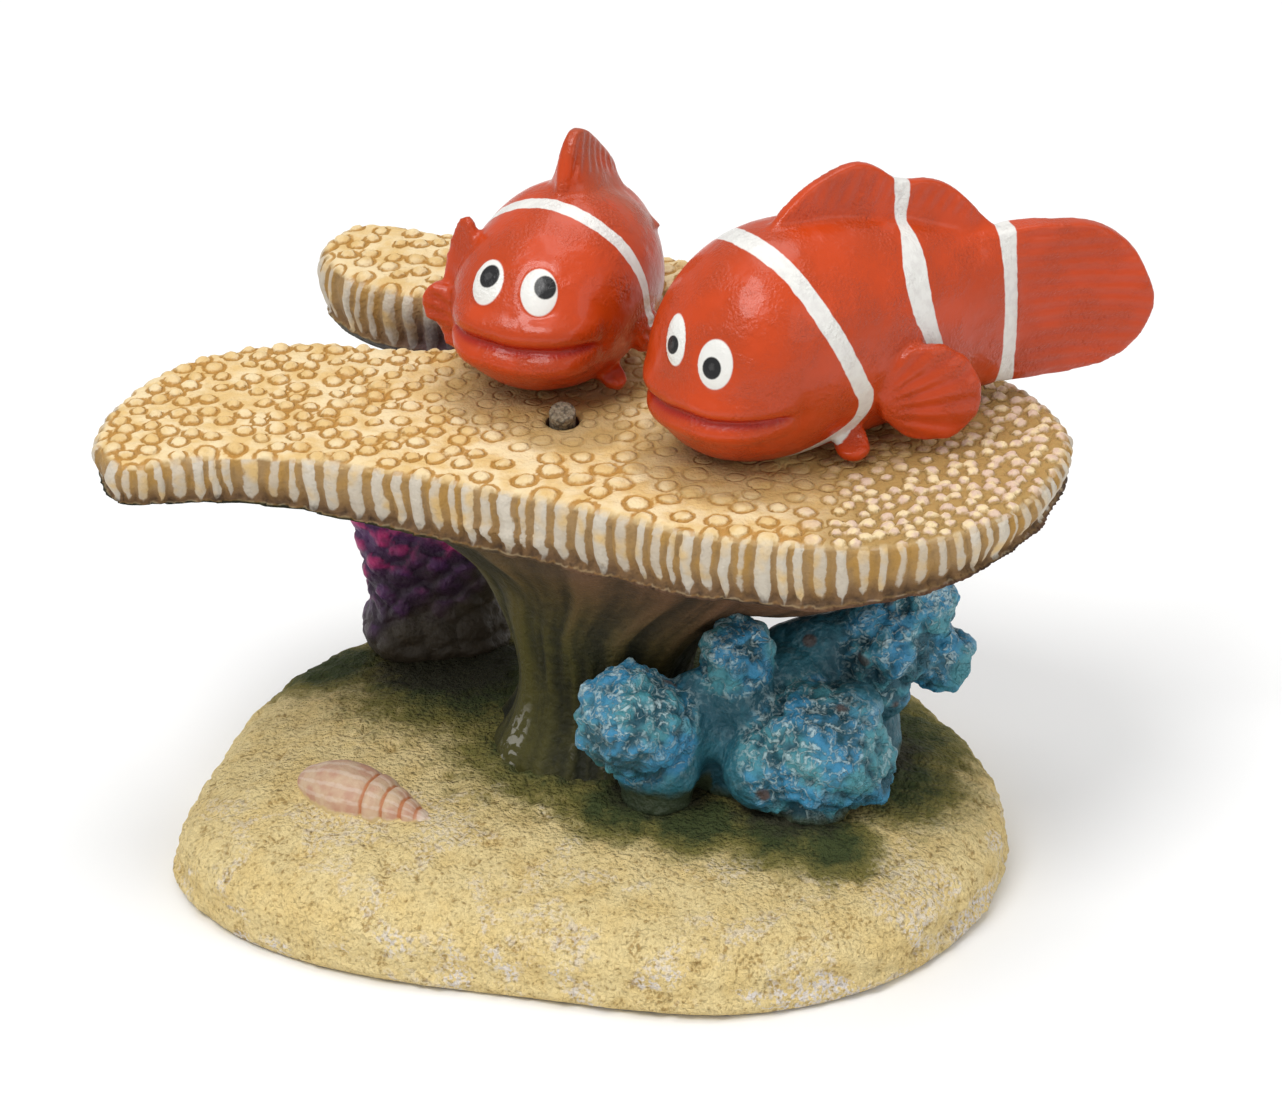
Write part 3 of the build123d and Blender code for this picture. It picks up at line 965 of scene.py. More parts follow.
@dataclass(frozen=True)
class ShellPaint:
    """Pinkish cream with orange-brown lines at the whorls and a pale tip."""

    cream: Colour = (0.60, 0.43, 0.28)
    blush: Colour = (0.50, 0.27, 0.18)
    brown: Colour = (0.46, 0.13, 0.025)
    tip: Colour = (0.78, 0.68, 0.58)
    sand: Colour = (0.62, 0.47, 0.23)

    def build(self) -> bpy.types.Material:
        """Makes the material."""
        s = Shader("shell_paint")
        colour = s.mix(s.noise(3.0, 4.0).step(0.35, 0.65), self.cream, self.blush)
        lines = s.frayed("lines", 1.0, 3.0, 1.1)
        colour = s.mix(lines.step(0.55, 0.95) * 0.30, colour, self.tip)
        suture = s.frayed("suture", 1.2, 3.0, 0.7)
        colour = s.mix(suture.step(0.35, 0.8) * 0.8, colour, self.brown)
        colour = s.mix(s.number("along").step(0.84, 0.95) * 0.75, colour, self.tip)
        colour = s.mix(s.frayed("sunk", 1.2, 4.0, 0.9).step(0.5, 0.9), colour, self.sand)
        fine = s.noise(0.8, 4.0)
        return s.surface(Base_Color=colour, Roughness=0.45 + fine * 0.25, Normal=s.bump(fine, 0.2))


@dataclass(frozen=True)
class StonePaint:
    """Fused grey-brown grit, matte and porous."""

    grit: Colour = (0.21, 0.165, 0.105)
    grain: Colour = (0.29, 0.24, 0.17)
    pore: Colour = (0.10, 0.08, 0.055)

    def build(self) -> bpy.types.Material:
        """Makes the material."""
        s = Shader("air_stone_grit")
        cells = s.cells(0.5)
        colour = s.mix(s.noise(0.6, 3.0).step(0.4, 0.6), self.grit, self.grain)
        colour = s.mix(cells.step(0.45, 0.8), colour, self.pore)
        return s.surface(
            Base_Color=colour, Roughness=0.92 - cells * 0.1, Normal=s.bump(cells, 0.18)
        )


@dataclass(frozen=True)
class TubePlastic:
    """Clear rigid plastic with faint flow lines."""

    name: str = "clear_tube_plastic"
    tint: Colour = (0.78, 0.83, 0.84)
    haze: Colour = (0.68, 0.74, 0.75)
    roughness: float = 0.12
    transmission: float = 0.55

    def build(self) -> bpy.types.Material:
        """Makes the material."""
        s = Shader(self.name)
        haze = s.noise(4.0, 2.0)
        return s.surface(
            Base_Color=s.mix(haze.step(0.3, 0.7), self.tint, self.haze),
            Roughness=self.roughness + haze * 0.12,
            Normal=s.bump(s.noise(1.2, 2.0), 0.03),
            Transmission_Weight=self.transmission,
            IOR=1.49,
        )


@dataclass(frozen=True)
class SealRubber:
    """Matte black rubber with a dusty bloom."""

    black: Colour = (0.018, 0.018, 0.019)
    bloom: Colour = (0.06, 0.06, 0.062)

    def build(self) -> bpy.types.Material:
        """Makes the material."""
        s = Shader("seal_rubber")
        dust = s.noise(1.5, 4.0)
        colour = s.mix(dust.step(0.4, 0.8), self.black, self.bloom)
        return s.surface(Base_Color=colour, Roughness=0.6 + dust * 0.3, Normal=s.bump(dust, 0.05))


@dataclass(frozen=True)
class DrawnRod:
    """Drawn steel rod, with fine lines along it."""

    steel: Colour = (0.42, 0.42, 0.43)
    dull: Colour = (0.26, 0.25, 0.24)

    def build(self) -> bpy.types.Material:
        """Makes the material."""
        s = Shader("drawn_rod")
        lines = s.noise(0.7, 3.0)
        colour = s.mix(lines.step(0.3, 0.7), self.steel, self.dull)
        return s.surface(Base_Color=colour, Metallic=1.0, Roughness=0.3 + lines * 0.2)


@dataclass(frozen=True)
class StudioPaper:
    """The pale paper that the ornament stands on."""

    paper: Colour = (0.94, 0.94, 0.935)
    fibre: Colour = (0.92, 0.92, 0.915)

    def build(self) -> bpy.types.Material:
        """Makes the material."""
        s = Shader("studio_paper")
        colour = s.mix(s.noise(30.0, 2.0), self.paper, self.fibre)
        return s.surface(Base_Color=colour, Roughness=0.9)


# ---------------------------------------------------------------- the castings


@dataclass
class Piece:
    """A piece of the ornament: its name, the CAD nodes that it stands for, its slot and body."""

    name: str
    nodes: tuple[str, ...]
    slot: str
    body: Body = Body.ORNAMENT

    def dress(self, obj: bpy.types.Object, material: bpy.types.Material) -> None:
        """Paints a finished mesh and fixes it to its body.

        Args:
            obj: the finished mesh object.
            material: its paint.
        """
        obj.data.materials.clear()
        obj.data.materials.append(material)
        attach(obj, self.body.value)
        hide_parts(*self.nodes)
        LOG.info("%s: %d faces", obj.name, len(obj.data.polygons))


@dataclass
class SandMound(Piece):
    """The hollow mound of sand."""

    name: str = "sand_mound"
    nodes: tuple[str, ...] = ("sand_base",)
    slot: str = "sand_resin"
    voxel: float = 0.58
    hollow_top: float = 9.6
    wall: float = 3.5
    outline: tuple = (
        (-59.5, -14), (-50, -27.5), (-34, -36.5), (-6, -43.5), (22, -47), (47, -34.5),
        (59, -12), (58.5, 9), (51, 27), (36, 43), (12, 50.5), (-15, 51.5), (-38, 45),
        (-51, 27), (-57.5, 7),
    )
    # x, y and reach of each green air-brushed patch
    growth: tuple = (
        (-2, 4, 20), (-18, 24, 20), (-40, 33, 11), (5, -13, 11), (15, -17, 10), (28, -19, 11),
        (34, -23, 8), (42, -4, 13), (42, 12, 17), (20, 25, 20),
    )
    # x, y and reach of each patch of painted shade, at the feet of the stalk and the corals
    shaded: tuple = ((-22, 29, 15), (0, 4, 15), (10, -8, 10), (29, -13, 11), (38, 4, 13))

    def airbrush_and_shade_patches(self, points: np.ndarray, spots: Sequence[tuple]) -> np.ndarray:
        """How much paint a set of round patches leaves at each point: the air-brushed green, and
        the painted shade.
        """
        return 1.15 * patches(points, spots, 2.6)

    def build(self) -> None:
        """Makes and dresses the mound."""
        obj = casting_copy(self.nodes[0], self.name)
        remesh(obj, self.voxel, 4)
        p, n = places(obj), outward(obj)
        away, _ = Outline(self.outline).near(p)
        hollow = (away > self.wall) & (p[:, 2] < self.hollow_top)
        shown = np.where(hollow, 0.15, 1.0) * ease(p[:, 2], 0.2, 1.5)
        lumps = 0.8 * Noise(1).at(p, 15) + 0.5 * Noise(2).at(p, 5.5, 2)
        pits = np.maximum(Noise(3).at(p, 2.1, 2) - 0.16, 0)
        grain = 0.42 * Noise(4).at(p, 1.35, 2)
        rise = lumps + grain - 1.3 * pits
        from_stalk = np.hypot(p[:, 0] - STALK_XY[0], p[:, 1] - STALK_XY[1])
        heap = 2.0 * bell(from_stalk, 24) * ease(n[:, 2], 0.3, 0.8) * ease(p[:, 2], 11, 13)
        lip = 0.6 * bell(p[:, 2] - 2.2, 1.2) * (1 - np.abs(n[:, 2]))
        slope = 1 - 0.24 * (1 - ease(away, 0, 22)) * ~hollow
        p = p + n * ((rise + lip) * shown)[:, None]
        p[:, 2] = np.maximum(p[:, 2] * slope + heap, 0)
        put(obj, p)
        note(obj, "moss", self.airbrush_and_shade_patches(p, self.growth) * ease(p[:, 2], 3, 10) * ~hollow)
        # the painted shade at the feet of the stalk and the corals
        note(obj, "painted_shade", self.airbrush_and_shade_patches(p, self.shaded) * ease(p[:, 2], 9, 12) * ~hollow)
        note(obj, "pit", np.clip(pits * 3, 0, 1))
        note(obj, "wall", (1 - np.clip(n[:, 2], 0, 1) * 0.6) * ease(p[:, 1], 10, -15))
        self.dress(obj, SandPaint().build())


@dataclass
class TableCoral(Piece):
    """The table coral: its ribbed plate, its higher back tier and its streaked stalk."""

    name: str = "table_coral_casting"
    nodes: tuple[str, ...] = ("table_coral",)
    slot: str = "coral_resin"
    voxel: float = 0.57
    plate: tuple = (
        (-70, -2), (-66.5, -7.5), (-55, -5), (-41, -5.5), (-27, -9.5), (-12.5, -15),
        (1.5, -21.5), (15, -28), (28.5, -31), (42, -31), (56, -24), (65.5, -9), (68, 4),
        (62, 19), (48, 33), (28, 42), (6, 44), (-12, 35), (-24, 31.5), (-37.5, 34),
        (-52, 32), (-62, 25.5), (-69, 12),
    )
    tier: tuple = (
        (-39.5, 49), (-29, 40), (-14, 39), (2, 41.5), (13, 43.5), (16, 50), (4, 55),
        (-12, 58.5), (-26, 64), (-36, 66.5), (-41, 60),
    )
    # x, y and reach of the smoother seats of the fish
    seats: tuple = ((-7, 17, 17), (-3, 4, 9), (22, -3, 19), (36, 3, 15), (48, 9, 10))
    rib_gap: tuple[float, float] = (1.9, 3.7)
    shift: tuple = ((28, 38, 43, 47, 53, 59.5), (0, 2.2, 5, 7, 8.5, 9.5))
    undercut: float = 1.6
    tier_floor: float = 60.5
    # where the small tight polyps begin
    tight_from: float = 33
    # middle and half sizes of the underside's swelling above the blue coral
    bulge: tuple = ((27, 4, 57), (26, 17, 19))

    def ribs(self, along: np.ndarray, seed: int) -> tuple[np.ndarray, np.ndarray]:
        """The rim's ribs.

        Args:
            along: the length along an outline.
            seed: what makes this rim's ribs its own.

        Returns:
            Each point's place on its rib, 1 on the crest and 0 between ribs, and how
            much white that rib carries.
        """
        rng = np.random.default_rng(seed)
        edges = np.cumsum(rng.uniform(*self.rib_gap, 260))
        index = np.clip(np.searchsorted(edges, along), 1, len(edges) - 1)
        middle = (edges[index] + edges[index - 1]) / 2
        half = (edges[index] - edges[index - 1]) / 2
        crest = 1 - np.clip(np.abs(along - middle) / half, 0, 1) ** 2
        return crest, rng.uniform(0.25, 1.0, len(edges))[index]

    def polyps(self) -> tuple[np.ndarray, np.ndarray]:
        """The middles of the polyps, in plan, and their radii."""

        def gap(at: np.ndarray) -> np.ndarray:
            """How far apart the polyps stand: wide at the front, tight at the right."""
            front = bell(at[:, 0] - 5, 26) * ease(at[:, 1], 6, -6)
            return np.where(at[:, 0] > self.tight_from, 2.0, 2.9 + 1.0 * front)

        rng = np.random.default_rng(11)
        middles = scatter(rng, (-72, -34), (70, 70), gap, 30000)
        tight = np.where(middles[:, 0] > self.tight_from, 0.10, 0.0)
        share = tight + rng.uniform(0.30, 0.43, len(middles))
        return middles, gap(middles) * share

    def sculpt(self, p: np.ndarray, n: np.ndarray) -> tuple[np.ndarray, dict[str, np.ndarray]]:
        """The detail of the casting.

        Args:
            p: the plain casting's vertices.
            n: their normals.

        Returns:
            The vertices with the detail, and the numbers for the paint.
        """
        to_plate, along_plate = Outline(self.plate).near(p)
        to_tier, along_tier = Outline(self.tier).near(p)
        tier = (to_tier < to_plate) & (p[:, 2] > 58.5) & (p[:, 1] > 34)
        tier |= p[:, 2] > 67.2
        away = np.where(tier, to_tier, to_plate)
        wobble = 0.55 * Noise(21).at(p, 4)
        crest_p, tone_p = self.ribs(along_plate + wobble, 5)
        crest_t, tone_t = self.ribs(along_tier + wobble, 6)
        crest, tone = np.where(tier, crest_t, crest_p), np.where(tier, tone_t, tone_p)
        crown = np.where(tier, TIER_TOP, PLATE_TOP)
        lift = np.maximum(-20 - p[:, 0], 0) * 0.082 + np.maximum(p[:, 0] - 30, 0) * 0.13
        floor = np.where(tier, self.tier_floor, PLATE_BOTTOM + lift)
        drop = (crown - p[:, 2]) / (crown - floor)
        on_edge = 1 - ease(away, 2.2, 4.6)
        side = 1 - ease(np.abs(n[:, 2]), 0.45, 0.85)
        between = ease(crown - p[:, 2], 1.5, 2.5) * ease(p[:, 2] - floor, 1.0, 2.0)
        side = np.maximum(side, (away < 2.2) * between)
        top = ease(n[:, 2], 0.4, 0.85) * ease(p[:, 2], 62, 64)
        rim = on_edge * np.maximum(side, top * bell(away, 1.2)) * ease(p[:, 2], 54, 56)
        under = (1 - top) * (1 - rim)

        middles, radii = self.polyps()
        index, gap = Nearest(middles).find(p[:, :2])
        ratio = gap / radii[index]
        seat = patches(p, self.seats, 4) * (p[:, 2] < PLATE_TOP + 1.5)
        right = ease(p[:, 0] + 5 * Noise(23).at(p, 7), 27, 37)
        dome = cap(ratio)
        moat = bell(ratio - 1.3, 0.25)
        height_of = 0.55 + 0.25 * Noise(22).at(p, 3)
        polyp = (height_of * dome - 0.30 * moat) * (1 - 0.8 * seat)
        swell = 1.0 * Noise(24).at(p, 20) + 0.5 * Noise(25).at(p, 7)

        dx = p[:, 0] - STALK_XY[0] - np.interp(p[:, 2], *self.shift)
        dy = p[:, 1] - STALK_XY[1]
        reach = np.hypot(dx, dy)
        turn = np.arctan2(dy, dx) + 0.13 * Noise(26).at(p, 14)
        ring = np.stack([9 * np.cos(turn), 9 * np.sin(turn), (reach + p[:, 2]) * 0.03], axis=1)
        streak = Noise(27).at(ring, 1.3, 3)
        roots = Noise(28).at(ring, 3.4, 1)
        foot = ease(p[:, 2], 36, 15)

        ragged = 0.3 * Noise(29).at(p, 1.9, 2)
        rib_height = (0.9 * crest - 0.5) * (0.6 + 0.5 * tone) + ragged
        rib_height *= 1 - 0.6 * ease(drop, 0.75, 1.1)
        height = top * (1 - rim) * (polyp + 0.22 * Noise(30).at(p, 1.3)) + rim * rib_height
        height += under * (1.0 * streak + 1.7 * foot * roots + 0.3) + 0.4 * swell * (1 - under)
        # painted shade on the back tier's front face, in the gap above the plate's back edge
        gap_shade = np.zeros(len(p))
        gap_shade[tier] = bell(p[tier, 0] + 22, 8) * ease(drop[tier], 0.1, 0.6) * (p[tier, 1] < 52)
        # the air stone's socket keeps its size
        stone = SOCKET_XY - p[:, :2] + np.outer(PLATE_TOP - p[:, 2], (0, SOCKET_SLOPE))
        height *= ease(np.hypot(*stone.T), 2.6, 3.6)
        level = np.stack([n[:, 0], n[:, 1], np.zeros(len(n))], axis=1)
        inward = self.undercut * on_edge * ease(drop, 0.35, 1.05) * side
        marks = {
            "polyp": np.clip(ratio, 0, FAR), "top": top, "seat": seat, "right": right,
            "rib": crest, "drop": np.clip(drop, -0.2, 1.3), "tone": tone, "rim": rim,
            "under": under, "streak": 0.5 + 0.55 * streak + 0.25 * roots * foot, "gap_shade": gap_shade,
            "green": np.clip(ease(p[:, 2] + 7 * streak + 0.45 * dx, 56, 30), 0, 1),
            "scratch": ease(p[:, 2], 26, 18) * ease(streak, 0.0, 0.3) * (dy < -6) * (dx < 12),
        }
        return p + n * height[:, None] - level * inward[:, None], marks

    def build(self) -> None:
        """Makes and dresses the table coral."""
        plain = casting_copy(self.nodes[0], "table_coral_plain")
        bulge = ball("underside_bulge", 48, 32)
        middle, half = (np.array(item, float) for item in self.bulge)
        bowl = corners(bulge)
        bowl[:, 2] = np.minimum(bowl[:, 2], 0.1)
        put(bulge, bowl * half + middle)
        obj = join([plain, bulge], self.name)
        remesh(obj, self.voxel, 3)
        points, marks = self.sculpt(places(obj), outward(obj))
        put(obj, points)
        for name, values in marks.items():
            note(obj, name, values)
        self.dress(obj, TableCoralPaint().build())


@dataclass(frozen=True)
class Spine:
    """A fish's spine: a level arc from the snout to the end of the tail."""

    snout: tuple[float, float]
    length: float
    nose_turn: float
    tail_turn: float

    def lay(self, own: np.ndarray) -> np.ndarray:
        """Places from the fish's own measures.

        Args:
            own: distance from the snout, distance to its left, and height.

        Returns:
            Places from the mound's centre.
        """
        start = math.radians(self.nose_turn)
        bend = math.radians(self.tail_turn - self.nose_turn) / self.length
        angle = start + bend * own[:, 0]
        x = self.snout[0] + (np.sin(angle) - math.sin(start)) / bend + own[:, 1] * np.sin(angle)
        y = self.snout[1] - (np.cos(angle) - math.cos(start)) / bend - own[:, 1] * np.cos(angle)
        return np.stack([x, y, own[:, 2]], axis=1)


@dataclass(frozen=True)
class Mouth:
    """A wide smiling mouth with thick lips, around the upright axis of the head."""

    head: float
    middle: float
    span: float
    height: float
    bow: float
    droop: float
    lip: float
    swell: float
    gape: float

    def press(self, own: np.ndarray) -> tuple[np.ndarray, np.ndarray]:
        """How far the lips swell, and how deep the line between them is, at each place."""
        turn = np.degrees(np.arctan2(own[:, 1], self.head - own[:, 0])) - self.middle
        sag = self.droop * (np.abs(turn) / self.span) ** 1.5
        line = self.height + self.bow * bell(turn, 14) - sag
        off = own[:, 2] - line
        front = own[:, 0] < self.head + 5
        shown = (1 - ease(np.abs(turn), 0.80 * self.span, 1.04 * self.span)) * front
        soft = (1 - ease(np.abs(turn), 0.5 * self.span, 1.12 * self.span)) * front
        upper = self.swell * bell(off - 1.9 * self.lip, 1.5 * self.lip)
        lower = 1.1 * self.swell * bell(off + 2.0 * self.lip, 1.5 * self.lip)
        dimple = 0.5 * bell(np.abs(turn) - 1.02 * self.span, 5) * bell(off, 2.4) * front
        groove = bell(off, self.gape * (0.55 + 0.45 * soft)) * shown
        return (upper + lower) * soft - 1.0 * groove - dimple, groove


@dataclass
class Clownfish(Piece):
    """One clownfish: a plump body with thick ribbed fins, bent along its spine."""

    spine: Spine = None
    sections: tuple = ()
    dorsal: tuple = ()
    dorsal_base: float = 86.0
    dorsal_root: float = 3.4
    ray_pitch: float = 2.0
    tail: tuple = ()
    fans: tuple = ()
    mouth: Mouth = None
    bands: tuple[Band, ...] = ()
    eyes: tuple[Eye, ...] = ()
    dulled: float = 0.0
    voxel: float = 0.42
    dome: float = 0.4

    def section(self, x: np.ndarray) -> tuple[np.ndarray, np.ndarray, np.ndarray]:
        """The middle height, half height and half width of the body at each distance."""
        start, centre, high, wide = columns(self.sections)
        first = start[0]
        key, at = np.sqrt(start - first), np.sqrt(np.clip(x - first, 0, None))
        return smooth_line(key, centre, at), smooth_line(key, high, at), smooth_line(key, wide, at)

    def trunk(self) -> bpy.types.Object:
        """The body without fins, shaped from a ball."""
        obj = ball("trunk", 64, 64)
        unit = corners(obj)
        first, last = self.sections[0][0], self.sections[-1][0]
        distance = first + (unit[:, 0] + 1) / 2 * (last - first)
        around = np.hypot(unit[:, 1], unit[:, 2]) + 1e-9
        middle, half_high, half_wide = self.section(distance)
        own = np.stack([
            distance,
            unit[:, 1] / around * half_wide,
            middle + unit[:, 2] / around * half_high,
        ], axis=1)
        poles = around < 1e-4
        own[poles, 1:] = np.stack([np.zeros(poles.sum()), middle[poles]], axis=1)
        reshape(obj, own)
        return obj

    @staticmethod
    def upright(x: np.ndarray, z: np.ndarray) -> np.ndarray:
        """Places on the fish's own middle plane."""
        return np.stack([x, np.zeros_like(x), z], axis=1)

    def back_fin(self) -> bpy.types.Object:
        """The dorsal fin, thick where it grows out of the back."""
        xs, tops = columns(self.dorsal)

        def form(u: np.ndarray, v: np.ndarray) -> tuple:
            """The dorsal fin's middle, normal and half thickness."""
            rise = (v + 1) / 2
            x = xs[0] + (xs[-1] - xs[0]) * (u + 1) / 2
            z = self.dorsal_base + (smooth_line(xs, tops, x) - self.dorsal_base) * rise
            half = 0.95 + self.dorsal_root * np.clip(1 - rise, 0, 1) ** 1.8
            half *= 0.35 + 0.65 * ease(1 - np.abs(u), 0.0, 0.35)
            return self.upright(x, z), np.tile((0.0, 1.0, 0.0), (len(x), 1)), half

        return blade("back_fin", 48, 20, form)

    def tail_fin(self) -> bpy.types.Object:
        """The tail fin: a paddle that the body thins into."""
        xs, lows, highs = columns(self.tail)

        def form(u: np.ndarray, v: np.ndarray) -> tuple:
            """The tail fin's middle, normal and half thickness."""
            x = xs[0] + (xs[-1] - xs[0]) * (u + 1) / 2
            low, high = smooth_line(xs, lows, x), smooth_line(xs, highs, x)
            z = (low + high) / 2 + (high - low) / 2 * v
            half = 1.1 + 2.4 * np.clip((1 - u) / 2, 0, 1) ** 1.6 * (1 - 0.5 * v**2)
            return self.upright(x, z), np.tile((0.0, 1.0, 0.0), (len(x), 1)), half

        return blade("tail_fin", 36, 30, form)

    def fan(self, number: int) -> bpy.types.Object:
        """One paired fin: root, tip, spread direction, half width, cupping and widest place."""
        root, tip, spread, width, cup, peak = (np.array(item, float) for item in self.fans[number])
        along = tip - root
        across = spread / np.linalg.norm(spread)
        normal = np.cross(along / np.linalg.norm(along), across)

        def form(u: np.ndarray, v: np.ndarray) -> tuple:
            """The fan's middle, normal and half thickness."""
            out = (u + 1) / 2
            off = np.where(out > peak, (out - peak) / (1 - peak), (peak - out) / peak)
            half_width = width * np.clip(1 - off**2, 0, 1) ** 0.5
            half_width = np.maximum(half_width, width * 0.32 * (1 - out) ** 0.5)
            middle = root + along * out[:, None] + across * (v * half_width)[:, None]
            middle = middle + normal * (cup * (4 * out * (1 - out) - 0.6 * v**2))[:, None]
            half = 0.85 + 1.2 * (1 - out) ** 2
            return middle, np.tile(normal, (len(u), 1)), half

        return blade(f"fan_{number}", 28, 28, form)

    def off_body(self, own: np.ndarray) -> np.ndarray:
        """How far outside the plain body each place is, as a share of its radius."""
        middle, half_high, half_wide = self.section(np.minimum(own[:, 0], self.sections[-1][0]))
        high = (own[:, 2] - middle) / np.maximum(half_high, 1)
        return np.hypot(own[:, 1] / np.maximum(half_wide, 1), high) - 1

    def rays(self, own: np.ndarray, n: np.ndarray) -> np.ndarray:
        """The ribs of the fins at each place."""
        x, z = own[:, 0], own[:, 2]
        warp = Noise(41).at(own, 6)
        faces = ease(np.abs(n[:, 1]), 0.55, 0.9)
        off = self.off_body(own)
        xs, lows, highs = columns(self.tail)
        spread = (z - (smooth_line(xs, lows, x) + smooth_line(xs, highs, x)) / 2) + 0.7 * warp
        total = 0.12 * np.cos(spread * 3.1 + 1.6 * warp) * ease(x, xs[1] + 1, xs[1] + 6) * faces
        middle, half_high, _ = self.section(x)
        above = z - middle - half_high
        lean = x - 0.5 * above + 0.5 * warp
        tops = smooth_line(*columns(self.dorsal), x)
        strip = ease(above, 0.8, 3.5) * ease(tops - z, 0.2, 1.2) * faces * (x < xs[1])
        total += 0.12 * np.cos(lean * 2 * math.pi / self.ray_pitch + warp) * strip
        for root, tip, _, width, *_ in self.fans:
            root, tip = np.array(root, float), np.array(tip, float)
            length = np.linalg.norm(tip - root)
            axis = (tip - root) / length
            offset = own - root
            out = offset @ axis
            aside = offset - out[:, None] * axis
            turn = np.arctan2(aside[:, 2], out + 4.0) + 0.04 * warp
            inside = (out > 1) & (out < length * 1.1)
            inside &= np.linalg.norm(aside, axis=1) < width * 1.2
            inside &= (np.abs(own[:, 1]) > 6) & (off > 0.02)
            faded = ease(out, 1, 4) * ease(length - out, 0.2, 1.5)
            total += 0.13 * np.cos(turn * 30) * inside * faded
        return total

    def build(self) -> None:
        """Makes and dresses the fish."""
        parts = [self.trunk(), self.back_fin(), self.tail_fin()]
        parts += [self.fan(number) for number in range(len(self.fans))]
        obj = join(parts, self.name)
        obj.data.transform(((MM, 0, 0, 0), (0, MM, 0, 0), (0, 0, MM, 0), (0, 0, 0, 1)))
        remesh(obj, self.voxel, 9)
        own, n = corners(obj) / MM, outward(obj)
        lips, groove = self.mouth.press(own)
        rays = self.rays(own, n)
        skin = 0.20 * Noise(42).at(own, 8) + 0.04 * Noise(43).at(own, 1.6)
        height = lips + rays + skin
        reach = np.min([eye.reach(own) for eye in self.eyes], axis=0)
        height = height * ease(reach, 0.9, 1.4) + self.dome * cap(reach)
        side_fins = (self.off_body(own) > 0.10) & (np.abs(own[:, 1]) > 4)
        band = np.max([course.inside(own) for course in self.bands], axis=0)
        note(obj, "band", np.where(side_fins, -FAR, np.clip(band, -FAR, FAR)))
        note(obj, "eye", reach)
        note(obj, "pupil", np.min([eye.pupil_reach(own) for eye in self.eyes], axis=0))
        # the painted shade darkens the mouth groove and the creases between the fin rays
        crease = np.clip(-rays * 3, 0, 0.3)
        note(obj, "recess_shade", np.clip(groove * 1.1 + crease, 0, 1))
        note(obj, "far", ease(own[:, 0], 16, 26))
        put(obj, self.spine.lay(own + n * height[:, None]))
        self.dress(obj, FishPaint(f"{self.name}_paint", self.dulled).build())


def large_fish() -> Clownfish:
    """The larger fish, at the right of the table."""
    head = (14.0, 80.0)
    return Clownfish(
        name="large_clownfish_casting",
        nodes=("large_clownfish",),
        slot="fish_paint",
        spine=Spine((9.5, -12.5), 80, 43, 7),
        sections=(
            (2.5, 77, 0, 0), (2.9, 77.2, 3.4, 4.2), (4.8, 78.6, 7.9, 8.1), (9.6, 80.8, 13.5, 12.4),
            (18, 82.1, 16.8, 14.6), (28, 82.2, 16.8, 13.7), (40, 81.5, 15.4, 10.8),
            (50, 80.8, 12.9, 7.2), (58, 80.4, 10.6, 3.6), (61, 80.4, 6, 1),
        ),
        dorsal=(
            (16, 95), (20, 99.6), (24, 103), (29.3, 105.3), (34.2, 106), (37.2, 104.7),
            (39.6, 102.8), (42.5, 101.9), (44.9, 101.7), (47.8, 100.6), (51.9, 97),
            (54.5, 94), (57, 92),
        ),
        dorsal_base=88,
        tail=(
            (52, 72, 90), (56, 69, 92.2), (60, 68.6, 92.6), (65, 68.7, 92.3),
            (69.5, 69.1, 91.7), (74, 70.2, 89.6), (77, 72.4, 86.4), (79, 75.4, 82.5),
            (79.9, 77.8, 80),
        ),
        fans=(
            ((31.0, 11.2, 74.4), (47.3, 14.8, 76.2), (0.25, 0.1, -1.0), 7.4, 0.9, 0.5),
            ((31.5, -11.0, 73.5), (43.0, -14.4, 76.5), (0.30, -0.1, -1.0), 5.6, -1.0, 0.5),
            ((28.0, 8.0, 70.0), (26.0, 13.4, 67.6), (1.0, 0.4, 0.1), 2.5, 0.3, 0.6),
            ((29.5, -7.5, 70.0), (27.0, -13.0, 67.4), (1.0, -0.5, 0.1), 2.5, -0.3, 0.6),
        ),
        mouth=Mouth(14, 14, 80, 76.2, 0.4, -0.8, 1.0, 0.7, 0.8),
        bands=(
            Band((
                (67, 18.5, 1.0), (68.5, 21.4, 1.1), (70, 24.2, 1.2), (71.5, 26.3, 1.3),
                (73, 27.6, 1.4), (75, 28.1, 1.5), (77, 27.6, 1.5), (79, 26.3, 1.5),
                (83, 23.9, 1.5), (87, 21.7, 1.5), (90, 20.0, 1.5), (93.4, 18.4, 1.5),
                (96.5, 17.0, 1.45), (99, 15.4, 1.4),
            )),
            Band((
                (78, 42.8, 1.2), (80.5, 41.9, 1.4), (83, 40.8, 1.5), (86, 39.6, 2.0),
                (89, 39.1, 2.25), (92.8, 39.2, 2.2), (95, 39.7, 1.7), (96.5, 40.1, 1.05),
                (99, 40.5, 1.15), (102, 40.7, 1.3), (104, 40.7, 1.3),
            )),
            Band(((68, 57.2, 1.4), (80, 57.0, 1.35), (93, 57.0, 1.4))),
        ),
        eyes=(
            Eye((4.3, 6.5, 85.3), (2.65, 3.5), (0.35, -0.55), 1.4, head),
            Eye((4.1, -1.9, 86.4), (2.0, 3.6), (0.25, -0.75), 1.15, head, 28),
        ),
    )


